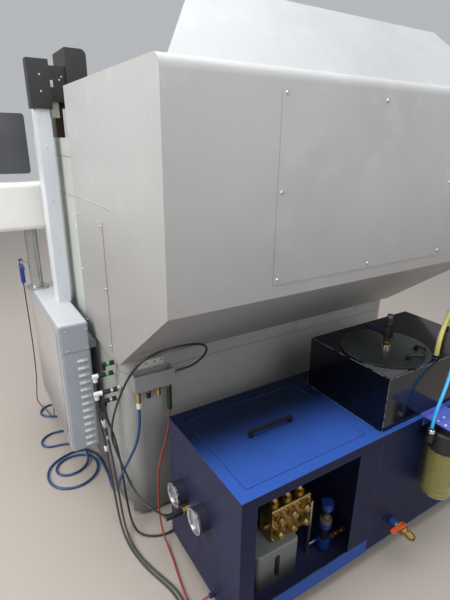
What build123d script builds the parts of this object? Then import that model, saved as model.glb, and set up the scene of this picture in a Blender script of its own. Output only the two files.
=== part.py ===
from build123d import *
import math
import os

os.makedirs("parts", exist_ok=True)

# Machine frame: origin on the floor under the base casting, front of the machine at -Y
# All sizes in millimetres

# Clearances and small common sizes
seat_gap = 0.3
slide_gap = 0.3
running_gap = 0.05
bolt_head_radius = 6.5
bolt_head_height = 4

# Base casting
base_half = 770
base_rear = 600
base_front = -620
base_low = 20
base_top = 790
base_corner = 70
base_wall = 40
base_deck = 70
trough_half = 640
trough_front = -560
trough_rear = 100
trough_depth = 45
foot_pocket = 110
foot_pocket_height = 75
foot_inset = 75
foot_radius = 38
foot_plate = 14
foot_stud_radius = 10

# Work table
table_half = 450
table_front = -470
table_rear = 30
table_top = 900
table_slot_width = 18
table_slot_depth = 26
table_slot_pitch = 125
table_hole_radius = 5.1
table_hole_depth = 30
table_hole_x = 800
table_hole_y = 430

# Linear guides, shared by the X, Y and Z axes
rail_width = 20
rail_height = 18
guide_stack = 30
carriage_width = 48
carriage_length = 74
magnet_width = 70
magnet_height = 12
motor_gap = 0.8

# Column and saddle
column_half = 500
column_front = 255
column_rear = 550
column_top = 1390
column_wall = 45
column_flange = 40
x_rail_half = 420
x_rail_inset = 45
saddle_half = 165
saddle_plate = 50

# Ram
ram_half = 130
ram_front = -60
ram_rear = 880
ram_height = 170
ram_wall = 28
y_rail_spacing = 180

# Head frame and spindle slide
head_half = 110
head_depth = 80
head_low = 1300
head_high = 1960
z_rail_spacing = 140
motor_cover_half = 75
motor_cover_depth = 170
motor_cover_height = 110
slide_low = 1560
slide_high = 1900
slide_plate = 22
slide_half = 95
spindle_reach = 90
spindle_housing_half = 55
spindle_housing_high = 1790
spindle_motor_radius = 46
spindle_motor_high = 1890
spindle_radius = 15
spindle_socket = 60
chuck_radius = 22
chuck_low = 1470
chuck_high = 1535
chuck_bore_depth = 40
electrode_radius = 1.5
electrode_low = 1172

# Electrode guide arm on its own rail at the side of the head frame
guide_rail_low = 1310
guide_rail_high = 1670
arm_carriage_low = 1530
arm_carriage_high = 1645
arm_bar = 28
arm_low = 1188
arm_plate = 24
bush_radius = 12
bush_height = 40

# Rear hood and its panels
hood_half = 785
hood_sheet = 4
hood_front = 160
hood_rear = 1074
hood_top = 1810
hood_rear_low = 1150
hood_bend = 34
hood_flange = 40
ram_window_half = 385
ram_window_low = 1430
ram_window_high = 1770
panel_sheet = 3
rear_panel_half = 425
rear_panel_low = 1195
rear_panel_high = 1760
side_panel_rear = 534
side_panel_low = 822
side_panel_high = 1335
panel_screw_inset = 16

# Leaning guard on the hood's roof
guard_half = 745
guard_rear = 1034
guard_rise = 231
guard_run = 230
guard_taper = 190
guard_flange = 55
guard_sheet = 4

# Splash guard and front door
splash_top = 1620
splash_sheet = 5
rail_beam_height = 50
rail_beam_depth = 56
rail_lip = 5
door_thickness = 30
window_margin = 90
window_sheet = 5
handle_length = 260
handle_reach = 40
handle_bar = 14

# Electrical cabinet on the machine's right side
cabinet_gap = 30
cabinet_depth = 129
cabinet_inner = max(base_half, hood_half) + cabinet_gap
cabinet_outer = cabinet_inner + cabinet_depth
cabinet_rear = 304
cabinet_front = -386
cabinet_low = 233
cabinet_top = 875
cabinet_wall = 3
cabinet_bend = 12
bracket_height = 40
louvre_count = 13
louvre_first = 698
louvre_pitch = 36.4
louvre_length = 48
louvre_height = 11
louvre_depth = 7
louvre_inset = 40
louvre_x = cabinet_inner + louvre_inset
door_sheet = 3
door_flange = 16
door_gap = 2
hinge_radius = 5
hinge_length = 50

# Cable duct, bridge and column
duct_width = 55
duct_inner = cabinet_inner
duct_outer = duct_inner + duct_width
duct_rear = 14
duct_front = -86
duct_top = 1732
bridge_top = 1918
bridge_plate = 9
box_inset = 50
box_width = 88
box_far = hood_half - box_inset
box_near = box_far - box_width
box_rear = 24
box_front = -190
box_low = 1745
box_top = 1968
box_round = 24
bridge_overlap = 12
bridge_overhang = 18
bridge_drop = 30
bridge_step = 20
bridge_riser_inset = 7
bridge_riser_far = hood_half - bridge_riser_inset
bridge_riser_width = 34
bridge_riser_front = -150
bridge_riser_rear = -66
terminal_width = 34
terminal_height = 62
terminal_depth = 50

# Console
post_inset = 31
post_x = cabinet_outer - post_inset
post_y = -294
post_radius = 30
post_top = 1190
post_flange_radius = 55
post_flange = 10
console_tail = 78
console_reach = 317
console_near = post_x - console_tail
console_far = post_x + console_reach
console_rear = -214
console_front = -400
console_low = 1190
console_high = 1420
console_lip = 80
console_nose = console_low + console_lip
console_slope = 110
console_round = 26
button_inset = 110
stop_inset = 55
button_depth = 24
monitor_tail = 31
monitor_reach = 349
monitor_near = post_x - monitor_tail
monitor_far = post_x + monitor_reach
monitor_depth = 46
monitor_low = 1432
monitor_high = 1722
monitor_pivot_radius = 9
monitor_ear = 10
monitor_ear_x = 34
monitor_rim = 14
monitor_lift = 26
button_radius = 11
button_travel = 4
stop_radius = 19

# Manifold on the base's rear face
manifold_near = 575
manifold_far = 748
manifold_low = 680
manifold_high = 748
manifold_depth = 60
manifold_wall = 6
fitting_pitch = 43.5
fitting_first = 729
fitting_radius = 9.5
fitting_hex = 13
fitting_hex_height = 14
fitting_drops = (80, 43, 43)
red_port_inset = 20
red_port_drop = 126
red_port_radius = 11
fitting_depth = 40
plate_near = 600
plate_far = 714
plate_high = 787
plate_sheet = 5

# Side connectors on the base's right rear corner: y, level and reach of each
connector_places = ((525, 770, 66), (505, 714, 98), (545, 657, 108), (520, 600, 72))
connector_radius = 10
connector_drop = 24

# Pump and tank unit behind the machine
unit_left = 670
unit_split = 55
unit_right = -655
unit_rear = 794
unit_front = 1294
unit_low = 70
unit_top = 630
unit_sheet = 3
unit_foot_radius = 24
unit_foot_inset = 60
window_left = 611
window_right = 165
window_low = 140
window_high = 590
lid_left = 630
lid_right = 105
lid_rear = 854
lid_front = 1254
lid_gap = 2
lid_ledge = 12
lid_handle_left = 480
lid_handle_right = 287
lid_handle_height = 26
lid_handle_bar = 14
tank_box_left = 50
tank_box_right = -555
tank_box_rear = 881
tank_box_front = 1278
tank_box_top = 850
tank_box_sheet = 4
mouth_x = -130
mouth_y = 1106
mouth_radius = 148
round_lid_radius = 170
round_lid_sheet = 8
grip_rise = 18
grip_radius = 6.5
grip_pad_radius = 12
grip_pad_height = 4
grip_places = ((-214, 1184), (-220, 1226), (-162, 1252), (-118, 1222))
lid_pipe_x = -133
lid_pipe_y = 1108
lid_pipe_radius = 13
lid_pipe_top = 996
lid_pipe_ring = 18
lid_valve_low = 905
lid_valve_high = 950
lid_valve_half = 17
lever_sheet = 5
lever_stem = 4
lever_stand = 4
lid_lever_length = 84
lid_lever_width = 22
drain_x = -85
drain_z = 158
drain_reach = 106
drain_radius = 13
drain_bore = 8
drain_body_out = 52
drain_body_half = 17
drain_flange = 24
drain_lever_length = 72
drain_lever_width = 18
gauge_radius = 45
gauge_depth = 42
gauge_wall = 4
gauge_places = ((904, 365), (1069, 385))
pointer_hub = 5
pointer_tail = 8
pointer_half = 2
pointer_reach = 30
pointer_sheet = 1.5
outlet_y = 955
outlet_z = 325
outlet_reach = 95
outlet_radius = 11
outlet_collar = 12
outlet_nut = 16
outlet_spigot = 26
outlet_way = (0.1, -0.86, -0.5)

# Pump inside the cabinet: brass head, crankcase behind it, grey stand below, motor at the rear
pump_left = 455
pump_right = 275
pump_low = 240
pump_high = 385
pump_rear = 1110
pump_front = 1180
crank_rear = 1010
cap_radius = 22
cap_flange = 9
cap_hex = 10
cap_row = 33
crown_height = 8
crown_taper = 32
head_bolt_radius = 8
head_bolt_row = 60
head_port_length = 10
stand_left = 535
stand_right = 345
stand_rear = 1030
stand_front = 1212
stand_round = 16
stand_slot_x = 446
stand_slot_z = 150
stand_slot_size = (120, 24)
stand_slot_turn = 0
motor_radius = 78
motor_length = 150
motor_y = 950
motor_z = 175
riser_x = 262
riser_y = 1176
riser_radius = 7
chain_y = 1196
chain_z = 118
regulator_x = 196
regulator_radius = 24
regulator_height = 230
regulator_parts = ((20, 40), (125, 40), (215, 30))
chain_length = 110
chain_nut = 18
chain_nut_places = (30, 62, 94)

# Water filter on the tank's front edge
filter_x = -238
filter_y = 1360
filter_cap_radius = 64
filter_cap_low = 522
filter_cap_high = 592
bowl_radius = 57
bowl_low = 292
bowl_wall = 4
bowl_round = 18
bracket_half = 66
bracket_sheet = 4
elbow_radius = 13
elbow_z = 566
tube_port_x = -160
tube_port_y = 1340
tube_port_z = 612

# Hose and cable diameters
cable_diameter = 9
pressure_hose_diameter = 9
blue_hose_diameter = 12
red_hose_diameter = 8
gun_hose_diameter = 6
filter_tube_diameter = 13
yellow_hose_diameter = 18
gland_length = 22
gland_radius = 9
gland_z = 100
gland_places = (1234, 1190, 1146)
rear_gland_x = 560
rear_gland_z = 110
air_port_length = 28
air_ports = ((cabinet_inner + 75, -250), (cabinet_inner + 103, -300))
box_port_length = 12
box_ports = ((-240, 1256, 12), (-538, 1108, 12), (-470, 1225, 9.5))


# Helpers

def save(builder, name):
    builder.part.label = name
    export_step(builder.part, f"parts/{name}.step")


def slab(x0, x1, y0, y1, z0, z1, mode=Mode.ADD):
    """A rectangular plate or block between the given planes."""
    with BuildSketch(Plane.XY.offset(z0)) as outline:
        with Locations(((x0 + x1) / 2, (y0 + y1) / 2)):
            Rectangle(abs(x1 - x0), abs(y1 - y0))
    extrude(outline.sketch, amount=z1 - z0, mode=mode)


def disc(plane, radius, length, mode=Mode.ADD):
    """A round boss, pin or hole that starts on the plane and runs along its normal."""
    with BuildSketch(plane) as outline:
        Circle(radius)
    extrude(outline.sketch, amount=length, mode=mode)


def hexagon(plane, radius, length):
    """A hexagonal nut or fitting body."""
    with BuildSketch(plane) as outline:
        RegularPolygon(radius, 6)
    extrude(outline.sketch, amount=length)


def side_profile(points, x0, x1, mode=Mode.ADD):
    """A profile in the YZ plane, drawn point by point and run along X."""
    with BuildSketch(Plane.YZ.offset(x0)) as outline:
        with BuildLine():
            Polyline(points, close=True)
        make_face()
    extrude(outline.sketch, amount=x1 - x0, mode=mode)


def at(x, y, z, normal=(0, 0, 1)):
    """A plane at a point, facing the given way."""
    return Plane(origin=(x, y, z), z_dir=normal)


def cord(points, diameter, name):
    """A hose or cable: straight runs joined by the largest tangent arcs that fit."""
    route = [Vector(*point) for point in points]
    radii = []
    for before, corner, after in zip(route, route[1:], route[2:]):
        turn = math.radians((corner - before).get_angle(after - corner))
        shorter = min((corner - before).length, (after - corner).length)
        radii.append(0.45 * shorter / math.tan(turn / 2))
    with BuildPart() as tube:
        with BuildLine() as path:
            FilletPolyline(*points, radius=radii)
        centre_line = path.wire()
        with BuildSketch(Plane(origin=centre_line @ 0, z_dir=centre_line % 0)):
            Circle(diameter / 2)
        sweep()
    area = math.pi * diameter**2 / 4
    share = tube.part.volume / (area * centre_line.length)
    print(f"{name}: length {centre_line.length:.0f} volume share {share:.4f} least radius {min(radii):.0f}")
    print("  radii", " ".join(f"{radius:.0f}" for radius in radii))
    save(tube, name)


# Base casting with its trough, ribs and foot pockets
base_mid = (base_rear + base_front) / 2
foot_places = [(side * (base_half - foot_inset), y)
               for side in (-1, 1)
               for y in (base_front + foot_inset, base_mid, base_rear - foot_inset)]
foot_places.append((0, base_mid))

with BuildPart() as base_casting:
    with BuildSketch(Plane.XY.offset(base_low)):
        with Locations((0, base_mid)):
            RectangleRounded(2 * base_half, base_rear - base_front, base_corner)
    extrude(amount=base_top - base_low)
    with BuildSketch(Plane.XY.offset(base_low)):
        with Locations((0, base_mid)):
            RectangleRounded(2 * (base_half - base_wall), base_rear - base_front - 2 * base_wall,
                             base_corner - base_wall)
    extrude(amount=base_top - base_deck - base_low, mode=Mode.SUBTRACT)
    with BuildSketch(Plane.XY.offset(base_top)):
        with Locations((0, (trough_front + trough_rear) / 2)):
            RectangleRounded(2 * trough_half, trough_rear - trough_front, base_corner / 2)
        with Locations((0, (table_front + table_rear) / 2)):
            Rectangle(2 * table_half, table_rear - table_front, mode=Mode.SUBTRACT)
    extrude(amount=-trough_depth, mode=Mode.SUBTRACT)
    for rib_x in (-base_half / 3, base_half / 3):
        slab(rib_x - base_wall / 2, rib_x + base_wall / 2, base_front + base_wall, base_rear - base_wall,
             base_low + foot_pocket, base_top - base_deck)
    slab(base_wall - base_half, base_half - base_wall, base_mid - base_wall / 2, base_mid + base_wall / 2,
         base_low + foot_pocket, base_top - base_deck)
    for foot_x, foot_y in foot_places:
        slab(foot_x - foot_pocket / 2, foot_x + foot_pocket / 2, foot_y - foot_pocket / 2,
             foot_y + foot_pocket / 2, base_low + foot_pocket_height, base_low + 2 * foot_pocket_height)
    for side in (-1, 1):
        for foot_y in (base_front + foot_inset, base_rear - foot_inset):
            with BuildSketch(Plane.YZ.offset(side * (base_half + 1))):
                with Locations((foot_y, base_low + foot_pocket_height / 3)):
                    Rectangle(foot_pocket * 0.8, foot_pocket_height * 2 / 3)
            extrude(amount=-side * (base_wall + 2), mode=Mode.SUBTRACT)
save(base_casting, "base_casting")

with BuildPart() as levelling_feet:
    for foot_x, foot_y in foot_places:
        disc(at(foot_x, foot_y, 0), foot_radius, foot_plate)
        disc(at(foot_x, foot_y, foot_plate), foot_stud_radius,
             base_low + foot_pocket_height - foot_plate)
save(levelling_feet, "levelling_feet")

# Work table with clamping slots along X and four tapped holes
table_mid = (table_front + table_rear) / 2
with BuildPart() as work_table:
    slab(-table_half, table_half, table_front, table_rear, base_top, table_top)
    for step in (-1, 0, 1):
        slot_y = table_mid + step * table_slot_pitch
        slab(-table_half, table_half, slot_y - table_slot_width / 2, slot_y + table_slot_width / 2,
             table_top - table_slot_depth, table_top, Mode.SUBTRACT)
        slab(-table_half, table_half, slot_y - table_slot_width, slot_y + table_slot_width,
             table_top - table_slot_depth, table_top - table_slot_depth / 2, Mode.SUBTRACT)
    with BuildSketch(Plane.XY.offset(table_top)):
        with Locations((0, table_mid)):
            with GridLocations(table_hole_x, table_hole_y, 2, 2):
                Circle(table_hole_radius)
    extrude(amount=-table_hole_depth, mode=Mode.SUBTRACT)
save(work_table, "work_table")

# Column casting with X rails and magnet plate fused on its top
column_mid = (column_front + column_rear) / 2
x_rails = (column_front + x_rail_inset, column_rear - x_rail_inset)
with BuildPart() as column:
    slab(-column_half, column_half, column_front, column_rear, base_top, column_top)
    slab(-column_half - column_flange, column_half + column_flange, column_front, column_rear,
         base_top, base_top + column_flange)
    with BuildSketch(Plane.XZ.offset(-column_rear)):
        with Locations((0, (base_top + column_top) / 2)):
            with GridLocations((2 * column_half - column_wall) / 3, 0, 3, 1):
                Rectangle((2 * column_half - column_wall) / 3 - column_wall,
                          column_top - base_top - 2 * column_wall)
    extrude(amount=column_rear - column_front - column_wall, mode=Mode.SUBTRACT)
    for rail_y in x_rails:
        slab(-x_rail_half, x_rail_half, rail_y - rail_width / 2, rail_y + rail_width / 2,
             column_top, column_top + rail_height)
    slab(-x_rail_half, x_rail_half, column_mid - magnet_width / 2, column_mid + magnet_width / 2,
         column_top, column_top + magnet_height)
save(column, "column")

# Saddle: plate, four carriages on the X rails, four for the ram's rails, and the motor coil
saddle_low = column_top + guide_stack
saddle_high = saddle_low + saddle_plate
ram_low = saddle_high + guide_stack
ram_high = ram_low + ram_height
carriage_x = saddle_half - carriage_length / 2
groove = rail_width / 2 + slide_gap
with BuildPart() as x_saddle:
    slab(-saddle_half, saddle_half, column_front, column_rear, saddle_low, saddle_high)
    for rail_y in x_rails:
        for x in (-carriage_x, carriage_x):
            slab(x - carriage_length / 2, x + carriage_length / 2, rail_y - carriage_width / 2,
                 rail_y + carriage_width / 2, column_top + rail_height / 4, saddle_low)
    for rail_y in x_rails:
        slab(-saddle_half, saddle_half, rail_y - groove, rail_y + groove, column_top,
             column_top + rail_height + slide_gap, Mode.SUBTRACT)
    for x in (-y_rail_spacing / 2, y_rail_spacing / 2):
        for y in (column_front + carriage_length / 2, column_rear - carriage_length / 2):
            slab(x - carriage_width / 2, x + carriage_width / 2, y - carriage_length / 2,
                 y + carriage_length / 2, saddle_high, ram_low - rail_height / 4)
        slab(x - groove, x + groove, column_front, column_rear, ram_low - rail_height - slide_gap,
             ram_low, Mode.SUBTRACT)
    slab(-saddle_half, saddle_half, column_mid - magnet_width / 2, column_mid + magnet_width / 2,
         column_top + magnet_height + motor_gap, saddle_low)
save(x_saddle, "x_saddle")

# Ram: box casting with its two rails underneath
with BuildPart() as ram:
    slab(-ram_half, ram_half, ram_front, ram_rear, ram_low, ram_high)
    slab(ram_wall - ram_half, ram_half - ram_wall, ram_front + ram_wall, ram_rear, ram_low + ram_wall,
         ram_high - ram_wall, Mode.SUBTRACT)
    for x in (-y_rail_spacing / 2, y_rail_spacing / 2):
        slab(x - rail_width / 2, x + rail_width / 2, ram_front + ram_wall, ram_rear - ram_wall,
             ram_low - rail_height, ram_low)
save(ram, "ram")

# Head frame: plate on the ram's nose, two Z rails, guide rail at its side, motor cover on top
head_front = ram_front - head_depth
head_mid = (head_front + ram_front) / 2
with BuildPart() as head_frame:
    slab(-head_half, head_half, head_front, ram_front, head_low, head_high)
    for x in (-z_rail_spacing / 2, z_rail_spacing / 2):
        slab(x - rail_width / 2, x + rail_width / 2, head_front - rail_height, head_front, head_low,
             head_high)
    slab(-head_half - rail_height, -head_half, head_mid - rail_width / 2, head_mid + rail_width / 2,
         guide_rail_low, guide_rail_high)
    slab(-motor_cover_half, motor_cover_half, ram_front - motor_cover_depth, ram_front, head_high,
         head_high + motor_cover_height)
    fillet(head_frame.edges().filter_by(Axis.X).group_by(Axis.Z)[-1], motor_cover_half / 3)
save(head_frame, "head_frame")

# Spindle slide: carriages on the Z rails, plate, spindle housing and motor
slide_rear = head_front - guide_stack
slide_front = slide_rear - slide_plate
spindle_y = slide_front - spindle_reach
with BuildPart() as spindle_slide:
    slab(-slide_half, slide_half, slide_front, slide_rear, slide_low, slide_high)
    for x in (-z_rail_spacing / 2, z_rail_spacing / 2):
        for z in (slide_low, slide_high - carriage_length):
            slab(x - carriage_width / 2, x + carriage_width / 2, slide_rear, head_front - rail_height / 4,
                 z, z + carriage_length)
        slab(x - groove, x + groove, head_front - rail_height - slide_gap, head_front, slide_low,
             slide_high, Mode.SUBTRACT)
    with BuildSketch(Plane.XY.offset(slide_low)):
        with Locations((0, spindle_y)):
            RectangleRounded(2 * spindle_housing_half, 2 * spindle_housing_half, spindle_housing_half / 3)
        with Locations((0, (spindle_y + slide_front) / 2)):
            Rectangle(2 * spindle_housing_half, spindle_reach)
    extrude(amount=spindle_housing_high - slide_low)
    disc(at(0, spindle_y, spindle_housing_high), spindle_motor_radius,
         spindle_motor_high - spindle_housing_high)
    disc(at(0, spindle_y, slide_low), spindle_radius + running_gap,
         spindle_socket, Mode.SUBTRACT)
save(spindle_slide, "spindle_slide")

# Spindle shaft with its chuck, and the tubular electrode
with BuildPart() as spindle:
    with BuildSketch(Plane.XZ.offset(-spindle_y)):
        with BuildLine():
            Polyline((0, chuck_low), (chuck_radius * 0.6, chuck_low),
                     (chuck_radius, chuck_low + chuck_radius * 0.8), (chuck_radius, chuck_high),
                     (spindle_radius, chuck_high), (spindle_radius, slide_low + spindle_socket - seat_gap),
                     (0, slide_low + spindle_socket - seat_gap), close=True)
        make_face()
    revolve(axis=Axis((0, spindle_y, 0), (0, 0, 1)))
    disc(at(0, spindle_y, chuck_low), electrode_radius + running_gap, chuck_bore_depth, Mode.SUBTRACT)
save(spindle, "spindle")

with BuildPart() as electrode:
    disc(at(0, spindle_y, electrode_low), electrode_radius, chuck_low + chuck_bore_depth - electrode_low)
    disc(at(0, spindle_y, electrode_low), electrode_radius / 3, chuck_low + chuck_bore_depth - electrode_low,
         Mode.SUBTRACT)
save(electrode, "electrode")

# Guide arm: carriage on the side rail, hanging bar, arm and guide bush under the spindle
arm_rail_face = -head_half - guide_stack
arm_bar_x = arm_rail_face - arm_bar / 2
with BuildPart() as guide_arm:
    slab(arm_rail_face, -head_half - rail_height / 4, head_mid - carriage_width / 2,
         head_mid + carriage_width / 2, arm_carriage_low, arm_carriage_high)
    slab(-head_half - rail_height - slide_gap, -head_half, head_mid - groove, head_mid + groove,
         arm_carriage_low, arm_carriage_high, Mode.SUBTRACT)
    slab(arm_rail_face - arm_bar, arm_rail_face, head_mid - arm_bar / 2, head_mid + arm_bar / 2,
         arm_low, arm_carriage_high)
    with BuildSketch(Plane.XY.offset(arm_low)):
        with Locations((arm_bar_x, head_mid)):
            Circle(arm_bar / 2)
        with Locations((0, spindle_y)):
            Circle(bush_radius + arm_bar / 4)
        make_hull()
    extrude(amount=arm_plate)
    disc(at(0, spindle_y, arm_low - (bush_height - arm_plate) / 2), bush_radius, bush_height)
    disc(at(0, spindle_y, arm_low - bush_height), electrode_radius + running_gap, 3 * bush_height,
         Mode.SUBTRACT)
save(guide_arm, "guide_arm")

# Rear hood: a closed sheet shell with a flange on the base and a window for the ram
hood_outline = [(hood_front, base_top), (base_rear, base_top), (hood_rear, hood_rear_low),
                (hood_rear, hood_top), (hood_front, hood_top)]
with BuildPart() as hood:
    side_profile(hood_outline, -hood_half, hood_half)
    rolled = hood.edges().filter_by(Axis.X).filter_by_position(Axis.Y, hood_rear - 1, hood_rear + 1)
    fillet(rolled.sort_by(Axis.Z)[-1], hood_bend)
    offset(amount=-hood_sheet, kind=Kind.INTERSECTION, mode=Mode.SUBTRACT)
    slab(hood_flange - hood_half, hood_half - hood_flange, hood_front + hood_flange,
         base_rear - hood_flange, base_top, base_top + hood_sheet, Mode.SUBTRACT)
    slab(-ram_window_half, ram_window_half, hood_front, hood_front + hood_sheet, ram_window_low,
         ram_window_high, Mode.SUBTRACT)
save(hood, "hood")

# Access panels and their button-head screws
with BuildPart() as rear_panel:
    slab(-rear_panel_half, rear_panel_half, hood_rear, hood_rear + panel_sheet, rear_panel_low,
         rear_panel_high)
save(rear_panel, "rear_panel")

side_panel_front = hood_front + panel_screw_inset
with BuildPart() as side_panel:
    slab(hood_half, hood_half + panel_sheet, side_panel_front, side_panel_rear, side_panel_low,
         side_panel_high)
save(side_panel, "side_panel")

rear_screw_x = rear_panel_half - panel_screw_inset
rear_screws = [(x, z) for x in (-rear_screw_x, 0, rear_screw_x)
               for z in (rear_panel_low + panel_screw_inset, (rear_panel_low + rear_panel_high) / 2,
                         rear_panel_high - panel_screw_inset)]
rear_screws.remove((0, (rear_panel_low + rear_panel_high) / 2))
side_screws = [(y, z) for y in (side_panel_front + panel_screw_inset, side_panel_rear - panel_screw_inset)
               for z in (side_panel_low + panel_screw_inset, (side_panel_low + side_panel_high) / 2,
                         side_panel_high - panel_screw_inset)]
with BuildPart() as panel_screws:
    for x, z in rear_screws:
        with BuildSketch(at(x, hood_rear + panel_sheet, z, (0, 1, 0))):
            Circle(bolt_head_radius)
        extrude(amount=bolt_head_height, taper=25)
    for y, z in side_screws:
        with BuildSketch(at(hood_half + panel_sheet, y, z, (1, 0, 0))):
            Circle(bolt_head_radius)
        extrude(amount=bolt_head_height, taper=25)
save(panel_screws, "panel_screws")

# Leaning guard on the roof: a trapezoid tray of sheet, open underneath
guard_length = math.hypot(guard_rise, guard_run)
guard_plane = Plane(origin=(0, guard_rear, hood_top), x_dir=(-1, 0, 0), z_dir=(0, guard_rise, guard_run))
with BuildPart() as roof_guard:
    for inset, depth, mode in ((0, guard_flange, Mode.ADD), (guard_sheet, guard_flange, Mode.SUBTRACT)):
        with BuildSketch(guard_plane.offset(-inset)):
            with BuildLine():
                Polyline((inset - guard_half, 0), (guard_half - inset, 0),
                         (guard_half - guard_taper - inset, guard_length - inset),
                         (guard_taper + inset - guard_half, guard_length - inset), close=True)
            make_face()
        extrude(amount=-depth, mode=mode)
    split(bisect_by=Plane.XY.offset(hood_top), keep=Keep.TOP)
save(roof_guard, "roof_guard")

# Splash guard: side panels, fixed front pane, and the beams that carry the sliding door
beam_front = base_front + panel_sheet
beam_rear = beam_front + rail_beam_depth
door_front = beam_front + rail_lip
door_rear = door_front + door_thickness
beam_low = splash_top - rail_beam_height
door_low = base_top + rail_lip + seat_gap
door_high = splash_top - 2 * rail_lip
with BuildPart() as splash_guard:
    for side in (-1, 1):
        slab(side * hood_half, side * (hood_half - splash_sheet), beam_front, hood_front, base_top,
             splash_top)
    inner = hood_half - splash_sheet
    side_profile([(beam_front, beam_low), (beam_rear, beam_low), (beam_rear, splash_top),
                  (beam_front, splash_top)], -inner, inner)
    side_profile([(beam_front, base_top), (beam_rear, base_top), (beam_rear, base_top + 3 * rail_lip),
                  (beam_front, base_top + 3 * rail_lip)], -inner, inner)
    slab(-inner, inner, door_front - slide_gap, door_rear + slide_gap, beam_low, splash_top - rail_lip,
         Mode.SUBTRACT)
    slab(-inner, inner, door_front - slide_gap, door_rear + slide_gap, base_top + rail_lip,
         base_top + 3 * rail_lip, Mode.SUBTRACT)
    slab(-inner, 0, door_rear + 3 * rail_lip, door_rear + 3 * rail_lip + splash_sheet,
         base_top + 3 * rail_lip, beam_low)
save(splash_guard, "splash_guard")

# Sliding front door with its handle, and the window in it
door_left = -splash_sheet * 4
door_right = hood_half - splash_sheet - 2 * rail_lip
window_box = (door_left + window_margin, door_right - window_margin, door_low + window_margin,
              door_high - window_margin)
door_mid = (door_front + door_rear) / 2
handle_x = door_left + window_margin / 2
handle_z = (base_top + splash_top) / 2
with BuildPart() as front_door:
    slab(door_left, door_right, door_front, door_rear, door_low, door_high)
    slab(window_box[0], window_box[1], door_front, door_rear, window_box[2], window_box[3], Mode.SUBTRACT)
    for end in (-1, 1):
        z = handle_z + end * (handle_length - handle_bar) / 2
        slab(handle_x - handle_bar / 2, handle_x + handle_bar / 2, door_front - handle_reach, door_front,
             z - handle_bar / 2, z + handle_bar / 2)
    slab(handle_x - handle_bar / 2, handle_x + handle_bar / 2, door_front - handle_reach,
         door_front - handle_reach + handle_bar, handle_z - handle_length / 2, handle_z + handle_length / 2)
save(front_door, "front_door")

with BuildPart() as door_window:
    slab(window_box[0], window_box[1], door_mid - window_sheet / 2, door_mid + window_sheet / 2,
         window_box[2], window_box[3])
save(door_window, "door_window")

# Cable duct on the electrical cabinet, and the black bridge over the splash guard
with BuildPart() as cable_duct:
    slab(duct_inner, duct_outer, duct_front, duct_rear, cabinet_top, duct_top)
    slab(duct_inner + cabinet_wall, duct_outer - cabinet_wall, duct_front + cabinet_wall,
         duct_rear - cabinet_wall, cabinet_top, duct_top, Mode.SUBTRACT)
save(cable_duct, "cable_duct")

bridge_mid = (duct_front + duct_rear) / 2
bridge_side = duct_inner - bridge_overlap
bridge_low = duct_top + bridge_drop
with BuildPart() as cable_bridge:
    slab(bridge_side, duct_outer + bridge_overhang, bridge_mid, duct_rear + bridge_plate, duct_top,
         bridge_top)
    slab(box_far, bridge_side, bridge_riser_front, duct_rear - bridge_plate, bridge_low,
         bridge_top - bridge_step)
    slab(box_near, box_far, box_front, box_rear, box_low, box_top)
    fillet(cable_bridge.edges().filter_by(Axis.Y).filter_by_position(Axis.Z, box_top - 1, box_top + 1)
           .sort_by(Axis.X)[0], box_round)
    slab(bridge_riser_far - bridge_riser_width, bridge_riser_far, bridge_riser_front, bridge_riser_rear,
         base_top, bridge_low)
    slab(bridge_side - terminal_width, bridge_side, bridge_riser_rear, bridge_riser_rear + terminal_depth,
         bridge_low - terminal_height, bridge_low)
save(cable_bridge, "cable_bridge")

# Electrical cabinet: sheet box hung on the base, with louvres and an open outer side
cabinet_border = 20
frame_rear = cabinet_rear - 2 * cabinet_border
frame_front = cabinet_front + cabinet_border
frame_low = cabinet_low + cabinet_border
frame_high = cabinet_top - 2 * cabinet_border
door_axis_x = cabinet_outer + 1
door_axis_y = frame_rear - hinge_radius - seat_gap
hinge_levels = (cabinet_low + 90, cabinet_top - 90)
with BuildPart() as electrical_cabinet:
    slab(cabinet_inner, cabinet_outer, cabinet_front, cabinet_rear, cabinet_low, cabinet_top)
    fillet(electrical_cabinet.edges().filter_by(Axis.Y), cabinet_bend)
    fillet(electrical_cabinet.edges().filter_by(Axis.Z).group_by(Axis.X)[-1], cabinet_bend)
    slab(cabinet_inner + cabinet_wall, cabinet_outer - cabinet_wall, cabinet_front + cabinet_wall,
         cabinet_rear - cabinet_wall, cabinet_low + cabinet_bend, cabinet_top - cabinet_bend, Mode.SUBTRACT)
    slab(cabinet_outer - cabinet_wall, cabinet_outer, frame_front, frame_rear, frame_low, frame_high,
         Mode.SUBTRACT)
    for step in range(louvre_count):
        z = louvre_first - step * louvre_pitch
        side_profile([(cabinet_rear, z + louvre_height / 2), (cabinet_rear, z - louvre_height / 2),
                      (cabinet_rear + louvre_depth, z - louvre_height / 2)],
                     louvre_x - louvre_length / 2, louvre_x + louvre_length / 2)
    for z in (cabinet_low + 2 * bracket_height, base_top - 2 * bracket_height):
        slab(base_half, cabinet_inner, cabinet_front + 2 * bracket_height, cabinet_rear - 2 * bracket_height,
             z, z + bracket_height)
    for x, y in air_ports:
        disc(at(x, y, cabinet_low, (0, 0, -1)), gland_radius, air_port_length)
    for z in hinge_levels:
        disc(at(door_axis_x, door_axis_y, z - hinge_length), hinge_radius, hinge_length - seat_gap / 2)
        slab(cabinet_outer - cabinet_wall, cabinet_outer, door_axis_y, frame_rear, z - hinge_length,
             z - seat_gap / 2)
save(electrical_cabinet, "electrical_cabinet")

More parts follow.
